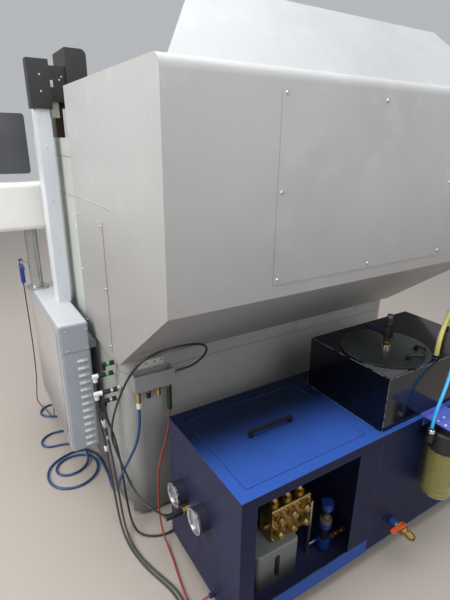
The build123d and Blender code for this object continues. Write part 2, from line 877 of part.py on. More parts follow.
door_leaf_rear = door_axis_y - hinge_radius - seat_gap
leaf = (frame_front + door_gap, door_leaf_rear, frame_low + door_gap, frame_high - door_gap)
with BuildPart() as cabinet_door:
    slab(cabinet_outer - door_flange, cabinet_outer, *leaf)
    slab(cabinet_outer - door_flange, cabinet_outer - door_sheet, leaf[0] + door_sheet, leaf[1] - door_sheet,
         leaf[2] + door_sheet, leaf[3] - door_sheet, Mode.SUBTRACT)
    for z in hinge_levels:
        disc(at(door_axis_x, door_axis_y, z), hinge_radius, hinge_length)
        slab(cabinet_outer - door_sheet, cabinet_outer, door_leaf_rear, door_axis_y, z, z + hinge_length)
save(cabinet_door, "cabinet_door")

# Controller and power modules on a plate inside the cabinet: place, level, width, height and depth of each
module_wall = cabinet_inner + cabinet_wall
module_plate = 6
module_margin = 40
module_places = ((-240, 290, 200, 180, 80), (-20, 290, 160, 240, 92), (160, 290, 140, 160, 60),
                 (-200, 580, 280, 150, 70), (110, 600, 220, 110, 85))
with BuildPart() as control_modules:
    slab(module_wall, module_wall + module_plate, cabinet_front + module_margin, cabinet_rear - module_margin,
         cabinet_low + module_margin, cabinet_top - module_margin)
    for y, z, width, height, depth in module_places:
        slab(module_wall + module_plate, module_wall + module_plate + depth, y - width / 2, y + width / 2, z,
             z + height)
save(control_modules, "control_modules")

# Console post with the air gun's hook, and the swivelling console on its pivot
post_bore = post_radius - 8
hook_bar = 4
hook_z = 1004
hook_side = 55
hook_ahead = 94
hook_x = post_x + hook_side
hook_y = post_y - hook_ahead
gun_y = hook_y
with BuildPart() as console_post:
    disc(at(post_x, post_y, cabinet_top), post_flange_radius, post_flange)
    disc(at(post_x, post_y, cabinet_top + post_flange), post_radius, post_top - cabinet_top - post_flange)
    disc(at(post_x, post_y, post_top - 3 * post_radius), post_bore, 3 * post_radius, Mode.SUBTRACT)
    hook_run = math.dist((post_x, post_y), (hook_x, hook_y))
    hook_way = ((hook_x - post_x) / hook_run, (hook_y - post_y) / hook_run, 0)
    disc(at(post_x + hook_way[0] * (post_radius - hook_bar), post_y + hook_way[1] * (post_radius - hook_bar),
            hook_z, hook_way), hook_bar, hook_run - post_radius + hook_bar)
    disc(at(hook_x, hook_y, hook_z - hook_bar), hook_bar, 4.5 * hook_bar)
save(console_post, "console_post")

button_slope = (console_front + console_slope, console_high)
slope_run = (console_slope, console_high - console_nose)
slope_length = math.hypot(*slope_run)
slope_in = (0, slope_run[1] / slope_length, -slope_run[0] / slope_length)
button_y = console_front + slope_run[0] / 2
button_z = console_high - slope_run[1] / 2
button_x = console_far - button_inset
stop_x = console_far - stop_inset
monitor_x = (monitor_near + monitor_far) / 2
monitor_pivot_y = (console_rear + console_front + console_slope) / 2
monitor_pivot_z = console_high + 16
with BuildPart() as console:
    side_profile([(console_rear, console_low + seat_gap), (console_rear, console_high),
                  button_slope, (console_front, console_nose), (console_front, console_low + seat_gap)],
                 console_near, console_far)
    fillet(console.edges().filter_by(Axis.X).group_by(Axis.Y)[-1], console_round)
    disc(at(post_x, post_y, post_top - 2.5 * post_radius), post_bore - running_gap, 2.5 * post_radius + 5)
    for x, radius in ((button_x, button_radius), (stop_x, button_radius)):
        disc(at(x, button_y, button_z, slope_in), radius + seat_gap, button_depth, Mode.SUBTRACT)
    for side in (-1, 1):
        x = monitor_x + side * (monitor_ear_x + monitor_ear / 2)
        slab(x - monitor_ear / 2, x + monitor_ear / 2, monitor_pivot_y - monitor_pivot_radius,
             monitor_pivot_y + monitor_pivot_radius, console_high - 2, monitor_pivot_z + monitor_pivot_radius)
    disc(at(monitor_x - monitor_ear_x, monitor_pivot_y, monitor_pivot_z, (1, 0, 0)),
         monitor_pivot_radius / 2, 2 * monitor_ear_x)
save(console, "console")

with BuildPart() as monitor:
    slab(monitor_near, monitor_far, monitor_pivot_y - monitor_depth / 2, monitor_pivot_y + monitor_depth / 2,
         monitor_low + monitor_lift, monitor_high)
    fillet(monitor.edges().filter_by(Axis.Y), monitor_rim)
    slab(monitor_near + monitor_rim, monitor_far - monitor_rim, monitor_pivot_y - monitor_depth / 2,
         monitor_pivot_y - monitor_depth / 2 + 2, monitor_low + monitor_lift + monitor_rim,
         monitor_high - monitor_rim, Mode.SUBTRACT)
    slab(monitor_x - monitor_ear_x + seat_gap, monitor_x + monitor_ear_x - seat_gap,
         monitor_pivot_y - monitor_pivot_radius, monitor_pivot_y + monitor_pivot_radius,
         monitor_pivot_z, monitor_low + monitor_lift + 4)
    disc(at(monitor_x - monitor_ear_x + seat_gap, monitor_pivot_y, monitor_pivot_z, (1, 0, 0)),
         monitor_pivot_radius, 2 * (monitor_ear_x - seat_gap))
    disc(at(monitor_x - monitor_ear_x, monitor_pivot_y, monitor_pivot_z, (1, 0, 0)),
         monitor_pivot_radius / 2 + running_gap, 2 * monitor_ear_x, Mode.SUBTRACT)
save(monitor, "monitor")

slope_out = tuple(-part for part in slope_in)
with BuildPart() as cycle_button:
    disc(at(button_x, button_y, button_z, slope_in), button_radius, button_depth - button_travel - 2)
    disc(at(button_x, button_y, button_z, slope_out), button_radius, button_travel + 2)
save(cycle_button, "cycle_button")

with BuildPart() as emergency_stop:
    disc(at(stop_x, button_y, button_z, slope_in), button_radius, button_depth - button_travel - 2)
    disc(at(stop_x, button_y, button_z, slope_out), button_radius, button_travel + 2)
    stop_head = Plane(origin=(stop_x, button_y + slope_out[1] * (button_travel + 2),
                              button_z + slope_out[2] * (button_travel + 2)), z_dir=slope_out)
    with BuildSketch(stop_head) as stop_disc:
        Circle(stop_radius)
    extrude(stop_disc.sketch, amount=14, taper=12)
save(emergency_stop, "emergency_stop")

# Air gun hanging by its eye on the hook, and its trigger
gun_grip_low = 886
gun_grip_high = 984
gun_grip_half = (11, 16)
gun_grip_round = 8
gun_barrel_z = 976
gun_barrel_length = 70
nozzle_radius = 4
nozzle_length = 36
gun_inlet_radius = 6
gun_inlet_length = 10
gun_inlet_inset = 8
ring_low = hook_z + hook_bar + seat_gap
ring_radius = 12
ring_sheet = 4
ring_post = 9.5
ring_post_radius = 2.4
barrel_radius = 9
trigger_half = 6
trigger_hub = 3.5
trigger_pin = 1.5
trigger_ear = 2.5
trigger_length = 54
trigger_y = gun_y + 28.5
trigger_z = gun_barrel_z - barrel_radius - seat_gap - trigger_hub
with BuildPart() as air_gun:
    slab(hook_x - gun_grip_half[0], hook_x + gun_grip_half[0], gun_y - gun_grip_half[1],
         gun_y + gun_grip_half[1], gun_grip_low, gun_grip_high)
    fillet(air_gun.edges().filter_by(Axis.Z), gun_grip_round)
    barrel_start = gun_y - gun_grip_half[1] + ring_sheet
    disc(at(hook_x, barrel_start, gun_barrel_z, (0, 1, 0)), barrel_radius, gun_barrel_length)
    ear_gap = trigger_half + seat_gap
    for x in (hook_x - ear_gap - trigger_ear, hook_x + ear_gap):
        slab(x, x + trigger_ear, trigger_y - trigger_hub, trigger_y + trigger_hub, trigger_z - trigger_hub,
             gun_barrel_z)
    disc(at(hook_x - ear_gap - trigger_ear, trigger_y, trigger_z, (1, 0, 0)), trigger_pin,
         2 * (ear_gap + trigger_ear))
    disc(at(hook_x, barrel_start + gun_barrel_length, gun_barrel_z, (0, 1, 0)), nozzle_radius, nozzle_length)
    disc(at(hook_x, gun_y - gun_inlet_inset, gun_grip_low, (0, 0, -1)), gun_inlet_radius, gun_inlet_length)
    disc(at(hook_x, hook_y, ring_low), ring_radius, ring_sheet)
    disc(at(hook_x, hook_y, ring_low), hook_bar + seat_gap, ring_sheet, Mode.SUBTRACT)
    disc(at(hook_x + hook_way[0] * ring_post, hook_y + hook_way[1] * ring_post,
            gun_grip_high - ring_radius / 2), ring_post_radius,
         ring_low + ring_sheet + ring_radius / 2 - gun_grip_high)
save(air_gun, "air_gun")

with BuildPart() as gun_trigger:
    slab(hook_x - trigger_half, hook_x + trigger_half, trigger_y - trigger_hub, trigger_y + trigger_hub,
         trigger_z - trigger_length, trigger_z)
    disc(at(hook_x - trigger_half, trigger_y, trigger_z, (1, 0, 0)), trigger_hub, 2 * trigger_half)
    disc(at(hook_x - trigger_half, trigger_y, trigger_z, (1, 0, 0)), trigger_pin + running_gap,
         2 * trigger_half, Mode.SUBTRACT)
save(gun_trigger, "gun_trigger")

# Manifold on the base's rear face: bored block in a folded tray, with its plate above
with BuildPart() as manifold_block:
    slab(manifold_near, manifold_far, base_rear, base_rear + manifold_depth, manifold_low, manifold_high)
    slab(manifold_near + manifold_wall, manifold_far - manifold_wall, base_rear + manifold_wall,
         base_rear + manifold_depth - manifold_wall, manifold_high - manifold_depth / 2, manifold_high,
         Mode.SUBTRACT)
    slab(plate_near, plate_far, base_rear, base_rear + plate_sheet, manifold_high - 4, plate_high)
    for x in (plate_near + 12, plate_far - 12):
        disc(at(x, base_rear + plate_sheet, plate_high - 11, (0, 1, 0)), 5, 4)
save(manifold_block, "manifold_block")

fitting_y = base_rear + fitting_depth
hose_port_z = (manifold_low + manifold_high) / 2 + 10
red_port_x = manifold_near + red_port_inset
with BuildPart() as manifold_fittings:
    for step, drop in enumerate(fitting_drops):
        x = fitting_first - step * fitting_pitch
        hexagon(at(x, fitting_y, manifold_low, (0, 0, -1)), fitting_hex, fitting_hex_height)
        disc(at(x, fitting_y, manifold_low - fitting_hex_height, (0, 0, -1)), fitting_radius,
             drop - fitting_hex_height)
    hexagon(at(manifold_near, fitting_y, hose_port_z, (-1, 0, 0)), fitting_radius, 12)
    hexagon(at(red_port_x, fitting_y, manifold_low, (0, 0, -1)), fitting_hex, fitting_hex_height)
    disc(at(red_port_x, fitting_y, manifold_low - fitting_hex_height, (0, 0, -1)), red_port_radius,
         red_port_drop - fitting_hex_height)
save(manifold_fittings, "manifold_fittings")

# Side connectors: an elbow at each level, with its outlet pointing down
with BuildPart() as side_connectors:
    for y, z, reach in connector_places:
        hexagon(at(base_half, y, z, (1, 0, 0)), connector_radius + 4, 12)
        disc(at(base_half + 12, y, z, (1, 0, 0)), connector_radius, reach - 12)
        disc(at(base_half + reach - connector_radius, y, z, (0, 0, -1)), connector_radius - 1,
             connector_drop)
save(side_connectors, "side_connectors")

# Pump cabinet: open sheet box on feet, with window, lid opening and cable glands
feet_x = (unit_left - unit_foot_inset, unit_split + unit_foot_inset)
feet_y = (unit_rear + unit_foot_inset, unit_front - unit_foot_inset)
with BuildPart() as pump_cabinet:
    slab(unit_split, unit_left, unit_rear, unit_front, unit_low, unit_top)
    slab(unit_split + unit_sheet, unit_left - unit_sheet, unit_rear + unit_sheet, unit_front - unit_sheet,
         unit_low + unit_sheet, unit_top - unit_sheet, Mode.SUBTRACT)
    slab(window_right, window_left, unit_front - unit_sheet, unit_front, window_low, window_high,
         Mode.SUBTRACT)
    slab(lid_right - lid_ledge, lid_left + lid_ledge, lid_rear - lid_ledge, lid_front + lid_ledge,
         unit_top - 2 * unit_sheet, unit_top - unit_sheet)
    slab(lid_right + lid_ledge, lid_left - lid_ledge, lid_rear + lid_ledge, lid_front - lid_ledge,
         unit_top - 2 * unit_sheet, unit_top - unit_sheet, Mode.SUBTRACT)
    slab(lid_right, lid_left, lid_rear, lid_front, unit_top - unit_sheet, unit_top, Mode.SUBTRACT)
    for x in feet_x:
        for y in feet_y:
            disc(at(x, y, 0), unit_foot_radius, unit_low)
    for y in gland_places:
        disc(at(unit_left, y, gland_z, (1, 0, 0)), gland_radius, gland_length)
    disc(at(rear_gland_x, unit_rear, rear_gland_z, (0, -1, 0)), gland_radius, gland_length)
save(pump_cabinet, "pump_cabinet")

# Lift-off lid with its bar handle
lid_mid_y = (lid_rear + lid_front) / 2
with BuildPart() as pump_lid:
    slab(lid_right + lid_gap, lid_left - lid_gap, lid_rear + lid_gap, lid_front - lid_gap,
         unit_top - unit_sheet, unit_top)
    for x in (lid_handle_right, lid_handle_left - lid_handle_bar):
        slab(x, x + lid_handle_bar, lid_mid_y - lid_handle_bar / 2, lid_mid_y + lid_handle_bar / 2, unit_top,
             unit_top + lid_handle_height)
    slab(lid_handle_right, lid_handle_left, lid_mid_y - lid_handle_bar / 2, lid_mid_y + lid_handle_bar / 2,
         unit_top + lid_handle_height - lid_handle_bar / 2, unit_top + lid_handle_height)
save(pump_lid, "pump_lid")

# Water tank beside the pump cabinet, open on top under the tank box
tank_left = unit_split
box_inner = (tank_box_right + tank_box_sheet, tank_box_left - tank_box_sheet,
             tank_box_rear + tank_box_sheet, tank_box_front - tank_box_sheet)
tank_feet_x = (tank_left - unit_foot_inset, unit_right + unit_foot_inset)
with BuildPart() as tank:
    slab(unit_right, tank_left, unit_rear, unit_front, unit_low, unit_top)
    slab(unit_right + unit_sheet, tank_left - unit_sheet, unit_rear + unit_sheet, unit_front - unit_sheet,
         unit_low + unit_sheet, unit_top - unit_sheet, Mode.SUBTRACT)
    slab(*box_inner, unit_top - unit_sheet, unit_top, Mode.SUBTRACT)
    disc(at(drain_x, unit_front, drain_z, (0, -1, 0)), drain_bore, unit_sheet, Mode.SUBTRACT)
    for x in tank_feet_x:
        for y in feet_y:
            disc(at(x, y, 0), unit_foot_radius, unit_low)
save(tank, "tank")

# Tank box: open underneath, with a round mouth in its top
with BuildPart() as tank_box:
    slab(tank_box_right, tank_box_left, tank_box_rear, tank_box_front, unit_top, tank_box_top)
    slab(*box_inner, unit_top, tank_box_top - tank_box_sheet, Mode.SUBTRACT)
    disc(at(mouth_x, mouth_y, tank_box_top, (0, 0, -1)), mouth_radius, tank_box_sheet, Mode.SUBTRACT)
    for x, y, radius in box_ports:
        disc(at(x, y, tank_box_top), radius, box_port_length)
save(tank_box, "tank_box")

# Round lid with its locating rim and its bowed grip near the edge
lid_high = tank_box_top + round_lid_sheet
grip_z = lid_high + grip_rise
with BuildPart() as round_lid:
    disc(at(mouth_x, mouth_y, tank_box_top), round_lid_radius, round_lid_sheet)
    disc(at(mouth_x, mouth_y, tank_box_top, (0, 0, -1)), mouth_radius - lid_gap, 2 * tank_box_sheet)
    disc(at(mouth_x, mouth_y, tank_box_top, (0, 0, -1)), mouth_radius - 4 * lid_gap, 2 * tank_box_sheet,
         Mode.SUBTRACT)
    for x, y in (grip_places[0], grip_places[-1]):
        disc(at(x, y, lid_high), grip_pad_radius, grip_pad_height)
    with BuildLine():
        FilletPolyline((*grip_places[0], lid_high), *((x, y, grip_z) for x, y in grip_places),
                       (*grip_places[-1], lid_high), radius=1.3 * grip_radius)
    with BuildSketch(at(*grip_places[0], lid_high)):
        Circle(grip_radius)
    sweep()
save(round_lid, "round_lid")

# Ball valve on a pipe that stands on the round lid, and its lever
lever_x = lid_pipe_x + lid_valve_half + lever_stand
lever_z = (lid_valve_low + lid_valve_high) / 2
with BuildPart() as lid_valve:
    disc(at(lid_pipe_x, lid_pipe_y, lid_high), lid_pipe_ring, 10)
    disc(at(lid_pipe_x, lid_pipe_y, lid_high), lid_pipe_radius, lid_valve_low - lid_high)
    hexagon(at(lid_pipe_x, lid_pipe_y, lid_valve_low), lid_valve_half + 3, lid_valve_high - lid_valve_low)
    disc(at(lid_pipe_x, lid_pipe_y, lid_valve_high), lid_pipe_radius - 2, lid_pipe_top - lid_valve_high)
    disc(at(lid_pipe_x, lid_pipe_y, lever_z, (1, 0, 0)), 2 * lever_stem,
         lid_valve_half + lever_stand - seat_gap)
    disc(at(lid_pipe_x, lid_pipe_y, lever_z, (1, 0, 0)), lever_stem,
         lid_valve_half + lever_stand + 3 + lever_sheet)
save(lid_valve, "lid_valve")


def lever(name, plane, length, width):
    """A flat valve lever with a round hub on the stem, running along the plane's own X."""
    with BuildPart() as handle:
        with BuildSketch(plane) as outline:
            Circle(width * 0.7)
            with Locations((length / 2, 0)):
                SlotOverall(length, width)
            Circle(lever_stem + running_gap, mode=Mode.SUBTRACT)
        extrude(outline.sketch, amount=lever_sheet)
    save(handle, name)


lever("lid_lever", Plane(origin=(lever_x, lid_pipe_y, lever_z), x_dir=(0, -1, 0), z_dir=(1, 0, 0)),
      lid_lever_length, lid_lever_width)

# Drain ball valve out of the tank's front, with its brass outlet and lever
drain_body_y = unit_front + drain_body_out
drain_top = drain_z + drain_body_half + 5
with BuildPart() as drain_valve:
    disc(at(drain_x, unit_front, drain_z, (0, 1, 0)), drain_radius + 4, drain_flange)
    disc(at(drain_x, unit_front + drain_flange, drain_z, (0, 1, 0)), drain_radius, drain_reach - drain_flange)
    hexagon(at(drain_x, drain_body_y - drain_body_half, drain_z, (0, 1, 0)), drain_body_half + 3,
            2 * drain_body_half)
    hexagon(at(drain_x, unit_front + drain_reach - 26, drain_z, (0, 1, 0)), drain_radius + 4, 20)
    disc(at(drain_x, drain_body_y, drain_z), 2 * lever_stem, drain_top - drain_z - seat_gap)
    disc(at(drain_x, drain_body_y, drain_z), lever_stem, drain_top - drain_z + lever_sheet + 3)
    disc(at(drain_x, unit_front, drain_z, (0, 1, 0)), drain_bore, drain_reach, Mode.SUBTRACT)
save(drain_valve, "drain_valve")

lever("drain_lever", Plane(origin=(drain_x, drain_body_y, drain_top), x_dir=(1, 0, 0)),
      drain_lever_length, drain_lever_width)

# Pressure gauges on the cabinet's side, and their pointers
gauge_face = unit_left + gauge_depth - 12
with BuildPart() as gauges:
    for y, z in gauge_places:
        disc(at(unit_left, y, z, (1, 0, 0)), gauge_radius, gauge_depth)
        disc(at(unit_left + gauge_depth, y, z, (-1, 0, 0)), gauge_radius - gauge_wall, 12, Mode.SUBTRACT)
save(gauges, "gauges")

for number, (y, z) in enumerate(gauge_places, start=1):
    with BuildPart() as pointer:
        face = Plane(origin=(gauge_face + seat_gap, y, z), x_dir=(0, 1, 0), z_dir=(1, 0, 0))
        with BuildSketch(face) as needle:
            Circle(pointer_hub)
            with BuildLine():
                Polyline((-pointer_tail, -pointer_half), (pointer_reach, -pointer_half / 2),
                         (pointer_reach, pointer_half / 2), (-pointer_tail, pointer_half), close=True)
            make_face()
        extrude(needle.sketch, amount=pointer_sheet)
    save(pointer, f"gauge_pointer_{number}")

# Triplex pump head: brass block with valve caps in two rows and on top
pump_pitch = (pump_left - pump_right) / 3
pump_mid_x = (pump_left + pump_right) / 2
pump_mid_y = (pump_rear + pump_front) / 2
pump_mid_z = (pump_low + pump_high) / 2


def crown(plane, radius):
    """A tapered round button standing on the plane."""
    with BuildSketch(plane) as button:
        Circle(radius)
    extrude(button.sketch, amount=crown_height, taper=crown_taper)


def valve_cap(plane):
    """A round flange, its hexagon and a crown, standing on the plane."""
    disc(plane, cap_radius, cap_flange)
    hexagon(plane.offset(cap_flange), cap_radius - 4, cap_hex)
    crown(plane.offset(cap_flange + cap_hex), 0.7 * cap_radius)


with BuildPart() as pump_head:
    slab(pump_right, pump_left, pump_rear, pump_front, pump_low, pump_high)
    fillet(pump_head.edges().filter_by(Axis.X), stand_round / 2)
    for step in (-1, 0, 1):
        x = pump_mid_x + step * pump_pitch
        for side in (-1, 1):
            valve_cap(at(x, pump_front, pump_mid_z + side * cap_row, (0, 1, 0)))
        valve_cap(at(x, pump_mid_y, pump_high))
    for step in (-1.35, -0.5, 0.5, 1.35):
        for rise in (-head_bolt_row, 0, head_bolt_row):
            crown(at(pump_mid_x + step * pump_pitch, pump_front, pump_mid_z + rise, (0, 1, 0)),
                  head_bolt_radius)
    disc(at(pump_left, pump_mid_y, pump_mid_z - cap_radius, (1, 0, 0)), cap_radius / 2, head_port_length)
    disc(at(pump_right, pump_mid_y, pump_mid_z + cap_radius, (-1, 0, 0)), cap_radius / 2,
         pump_right - riser_x - riser_radius)
save(pump_head, "pump_head")

# Pump drive: grey stand with its slot, crankcase behind the head, motor lying behind the stand
floor_z = unit_low + unit_sheet
with BuildPart() as pump_drive:
    slab(stand_right, stand_left, stand_rear, stand_front, floor_z, pump_low)
    fillet(pump_drive.edges().filter_by(Axis.Z), stand_round)
    fillet(pump_drive.edges().group_by(Axis.Z)[-1].filter_by(Axis.X), stand_round / 2)
    with BuildSketch(at(stand_slot_x, stand_front, stand_slot_z, (0, 1, 0))) as stand_slot:
        SlotOverall(*stand_slot_size, rotation=stand_slot_turn)
    extrude(stand_slot.sketch, amount=-2.5 * stand_round, mode=Mode.SUBTRACT)
    slab(pump_right + 8, pump_left - 8, crank_rear, pump_rear, pump_low, pump_high - 12)
    disc(at(stand_right + 20, motor_y, motor_z, (1, 0, 0)), motor_radius, motor_length)
    slab(stand_right + 40, stand_right + motor_length, motor_y - motor_radius / 2, stand_rear, floor_z,
         motor_z)
save(pump_drive, "pump_drive")

# Piping: steel riser, brass chain, regulator stack and the pressure outlet on the side wall
link_z = pump_mid_z + cap_radius
with BuildPart() as pump_piping:
    disc(at(riser_x, riser_y, floor_z), riser_radius, link_z + riser_radius - floor_z)
    disc(at(riser_x, pump_mid_y - riser_radius, link_z, (0, 1, 0)), riser_radius,
         riser_y - pump_mid_y + riser_radius)
    disc(at(riser_x + riser_radius, pump_mid_y, link_z, (-1, 0, 0)), riser_radius, riser_radius)
    disc(at(riser_x, riser_y, chain_z, (-1, 0, 0)), riser_radius, riser_x - regulator_x)
    disc(at(regulator_x, riser_y, chain_z, (0, 1, 0)), riser_radius, chain_y - riser_y)
    disc(at(regulator_x, chain_y, chain_z, (-1, 0, 0)), riser_radius, chain_length)
    for reach in chain_nut_places:
        hexagon(at(regulator_x - reach, chain_y, chain_z, (-1, 0, 0)), 2 * riser_radius, chain_nut)
    disc(at(regulator_x, chain_y, floor_z), regulator_radius * 0.6, regulator_height)
    for low, height in regulator_parts:
        disc(at(regulator_x, chain_y, floor_z + low), regulator_radius, height)
    hexagon(at(unit_left, outlet_y, outlet_z, (1, 0, 0)), outlet_radius + 6, outlet_collar)
    hexagon(at(unit_left + outlet_collar, outlet_y, outlet_z, (1, 0, 0)), outlet_radius + 3, outlet_nut)
    outlet_stem = outlet_collar + outlet_nut
    disc(at(unit_left + outlet_stem, outlet_y, outlet_z, (1, 0, 0)), outlet_radius,
         outlet_reach - outlet_stem)
    disc(at(unit_left + outlet_reach - outlet_radius, outlet_y, outlet_z, outlet_way), outlet_radius - 2,
         outlet_spigot)
save(pump_piping, "pump_piping")


# Water filter: bracket hooked over the tank's edge, cap with its elbow, and the clear bowl
bracket_top = unit_top + bracket_sheet
with BuildPart() as filter_housing:
    disc(at(filter_x, filter_y, filter_cap_low), filter_cap_radius, filter_cap_high - filter_cap_low)
    chamfer(filter_housing.edges().group_by(Axis.Z)[-1], 8)
    disc(at(filter_x, tube_port_y, elbow_z, (1, 0, 0)), elbow_radius, tube_port_x - filter_x)
    disc(at(tube_port_x, tube_port_y, elbow_z - elbow_radius), elbow_radius,
         tube_port_z - elbow_z + elbow_radius)
    slab(filter_x - bracket_half, filter_x + bracket_half, unit_front - 4 * bracket_sheet,
         filter_y + bowl_radius, unit_top, bracket_top)
    slab(filter_x - bracket_half, filter_x + bracket_half, unit_front, unit_front + bracket_sheet,
         filter_cap_high, unit_top)
    slab(filter_x - bracket_half / 2, filter_x + bracket_half / 2, filter_y - bracket_half / 2,
         filter_y + bracket_half / 2, filter_cap_high, unit_top)
save(filter_housing, "filter_housing")

with BuildPart() as filter_bowl:
    disc(at(filter_x, filter_y, bowl_low), bowl_radius, filter_cap_low - bowl_low)
    disc(at(filter_x, filter_y, bowl_low + bowl_wall), bowl_radius - bowl_wall,
         filter_cap_low - bowl_low - bowl_wall, Mode.SUBTRACT)
    fillet(filter_bowl.edges().filter_by(GeomType.CIRCLE).group_by(Axis.Z)[0], bowl_round)
save(filter_bowl, "filter_bowl")

# Hoses and cables, each routed point by point
connector_out_a, connector_out_b, connector_out_c = (
    (base_half + reach - connector_radius, y, z - connector_drop) for y, z, reach in connector_places[1:])
gland_x = unit_left + gland_length
way_length = math.hypot(*outlet_way)
outlet_corner = (unit_left + outlet_reach - outlet_radius, outlet_y, outlet_z)
hose_end, hose_lead = (
    tuple(centre + reach * part / way_length for centre, part in zip(outlet_corner, outlet_way))
    for reach in (outlet_spigot, outlet_spigot + 42))
air_port_z = cabinet_low - air_port_length

cord([(manifold_near - 12, fitting_y, hose_port_z), (534, fitting_y, hose_port_z), (492, 666, 744),
      (462, 700, 792),
      (468, 740, 850), (515, 768, 890), (580, 788, 908), (645, 788, 912), (705, 774, 898), (757, 752, 862),
      (790, 726, 805), (810, 698, 738), (822, 660, 665), (830, 625, 590), (836, 602, 525), (838, 598, 470),
      (832, 622, 425), (826, 658, 388), (819, 700, 350), (811, 745, 314), (796, 805, 288), hose_lead,
      hose_end], pressure_hose_diameter, "pressure_hose")

cord([(fitting_first, fitting_y, manifold_low - fitting_drops[0]), (fitting_first, fitting_y, 555),
      (735, 642, 500), (748, 641, 440), (770, 630, 380), (793, 612, 320), (810, 588, 255), (810, 555, 190),
      (810, 515, 130), (808, 470, 80), (802, 412, 38), (792, 350, 13), (783, 290, 7), (780, 225, 7),
      (780, 155, 7), (784, 88, 7), (808, 30, 7), (860, 0, 7), (922, 4, 7), (980, 26, 7), (1026, 64, 7),
      (1049, 120, 7), (1048, 180, 7), (1024, 230, 7), (982, 262, 7), (930, 274, 7), (874, 260, 7),
      (830, 224, 7), (806, 175, 7), (802, 118, 7), (822, 70, 7), (868, 38, 7), (924, 32, 7), (972, 50, 7),
      (1001, 88, 7), (1000, 132, 7), (974, 162, 7), (930, 173, 7), (884, 160, 7), (848, 128, 10),
      (832, 86, 19), (832, 38, 23), (838, -8, 21), (856, -50, 12), (890, -82, 7), (938, -98, 7),
      (984, -104, 7), (1018, -126, 7), (1026, -166, 7), (1006, -206, 7), (960, -230, 7), (908, -222, 7),
      (862, -216, 7), (832, -244, 7), (826, -294, 7), (842, -346, 7), (882, -384, 7), (930, -402, 7),
      (966, -432, 7), (976, -476, 7), (954, -518, 7), (908, -540, 7), (864, -524, 7), (846, -482, 8),
      (856, -436, 14), (870, -394, 24), (880, -350, 42), (887, -304, 74), (890, -266, 118),
      (*air_ports[0], 166), (*air_ports[0], air_port_z)], blue_hose_diameter, "blue_hose")

cord([connector_out_a, (connector_out_a[0], connector_out_a[1], 645), (855, 500, 580), (844, 495, 510),
      (832, 500, 445),
      (826, 510, 375), (823, 526, 305), (822, 548, 235), (822, 572, 165), (823, 598, 100), (825, 630, 45),
      (825, 674, 14), (824, 735, 6), (814, 805, 6), (796, 870, 6), (773, 935, 6), (752, 1000, 6),
      (748, 1060, 6), (756, 1115, 7), (766, 1165, 18), (767, 1207, 46), (754, 1230, 80),
      (726, gland_places[0], gland_z), (gland_x, gland_places[0], gland_z)], cable_diameter, "cable_a")

cord([connector_out_b, (connector_out_b[0], connector_out_b[1], 588), (861, 524, 525), (850, 503, 460),
      (841, 498, 390),
      (838, 508, 320), (837, 528, 250), (837, 552, 180), (837, 578, 115), (838, 608, 58), (839, 650, 20),
      (838, 715, 6), (831, 785, 6), (816, 855, 6), (795, 920, 6), (772, 985, 6), (764, 1045, 6),
      (764, 1095, 10), (762, 1142, 32), (758, 1174, 66), (744, 1188, 93),
      (720, gland_places[1], gland_z), (gland_x, gland_places[1], gland_z)], cable_diameter, "cable_b")

cord([connector_out_c, (connector_out_c[0], connector_out_c[1], 530), (820, 528, 475), (808, 540, 415),
      (802, 552, 350),
      (797, 566, 280), (797, 580, 210), (797, 597, 145), (797, 620, 88), (796, 652, 42), (783, 692, 14),
      (744, 724, 6), (690, 748, 6), (638, 748, 10), (594, 732, 30), (566, 713, 62), (560, 722, 98),
      (rear_gland_x, 744, rear_gland_z),
      (rear_gland_x, unit_rear - gland_length, rear_gland_z)], cable_diameter, "floor_hose")

cord([(red_port_x, fitting_y, manifold_low - red_port_drop), (red_port_x + 1, fitting_y, 512),
      (612, 656, 465), (638, 674, 420),
      (664, 690, 370), (681, 698, 310), (688, 704, 245), (692, 708, 180), (694, 714, 118), (696, 734, 62),
      (698, 768, 22), (700, 820, 5), (708, 880, 5), (720, 945, 5), (730, 1010, 5), (735, 1060, 6),
      (741, 1098, 20), (743, 1130, 54), (739, 1145, 86), (722, gland_places[2], gland_z),
      (gland_x, gland_places[2], gland_z)],
     red_hose_diameter, "red_hose")

cord([(hook_x, gun_y - gun_inlet_inset, gun_grip_low - gun_inlet_length),
      (hook_x, gun_y - gun_inlet_inset, 825), (967, -400, 750), (966, -407, 665), (965, -416, 580),
      (964, -427, 495), (964, -442, 410), (964, -460, 325), (966, -484, 245), (968, -512, 172),
      (970, -544, 115), (971, -568, 70), (968, -574, 36), (957, -548, 18), (944, -500, 18),
      (932, -440, 18), (923, -380, 22), (919, -334, 44), (917, -308, 84), (918, -301, 128),
      (*air_ports[1], 168), (*air_ports[1], air_port_z)], gun_hose_diameter, "gun_hose")

box_port_z = tank_box_top + box_port_length
cord([(tube_port_x, tube_port_y, tube_port_z), (tube_port_x, tube_port_y, 658), (-178, 1338, 706),
      (-205, 1333, 752), (-240, 1322, 797), (-283, 1305, 846), (-322, 1290, 893), (-362, 1273, 930),
      (-406, 1254, 946), (-448, 1235, 936), (*box_ports[2][:2], 901), (*box_ports[2][:2], box_port_z)],
     filter_tube_diameter, "filter_tube")

cord([(*box_ports[0][:2], box_port_z), (*box_ports[0][:2], 893), (-256, 1249, 930), (-292, 1234, 956),
      (-340, 1212, 967), (-395, 1185, 968), (-452, 1155, 966), (-500, 1129, 950), (-528, 1113, 922),
      (*box_ports[1][:2], 890), (*box_ports[1][:2], box_port_z)], yellow_hose_diameter, "yellow_hose")
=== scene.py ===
import bpy
import bmesh
import math
from mathutils import Matrix, Vector


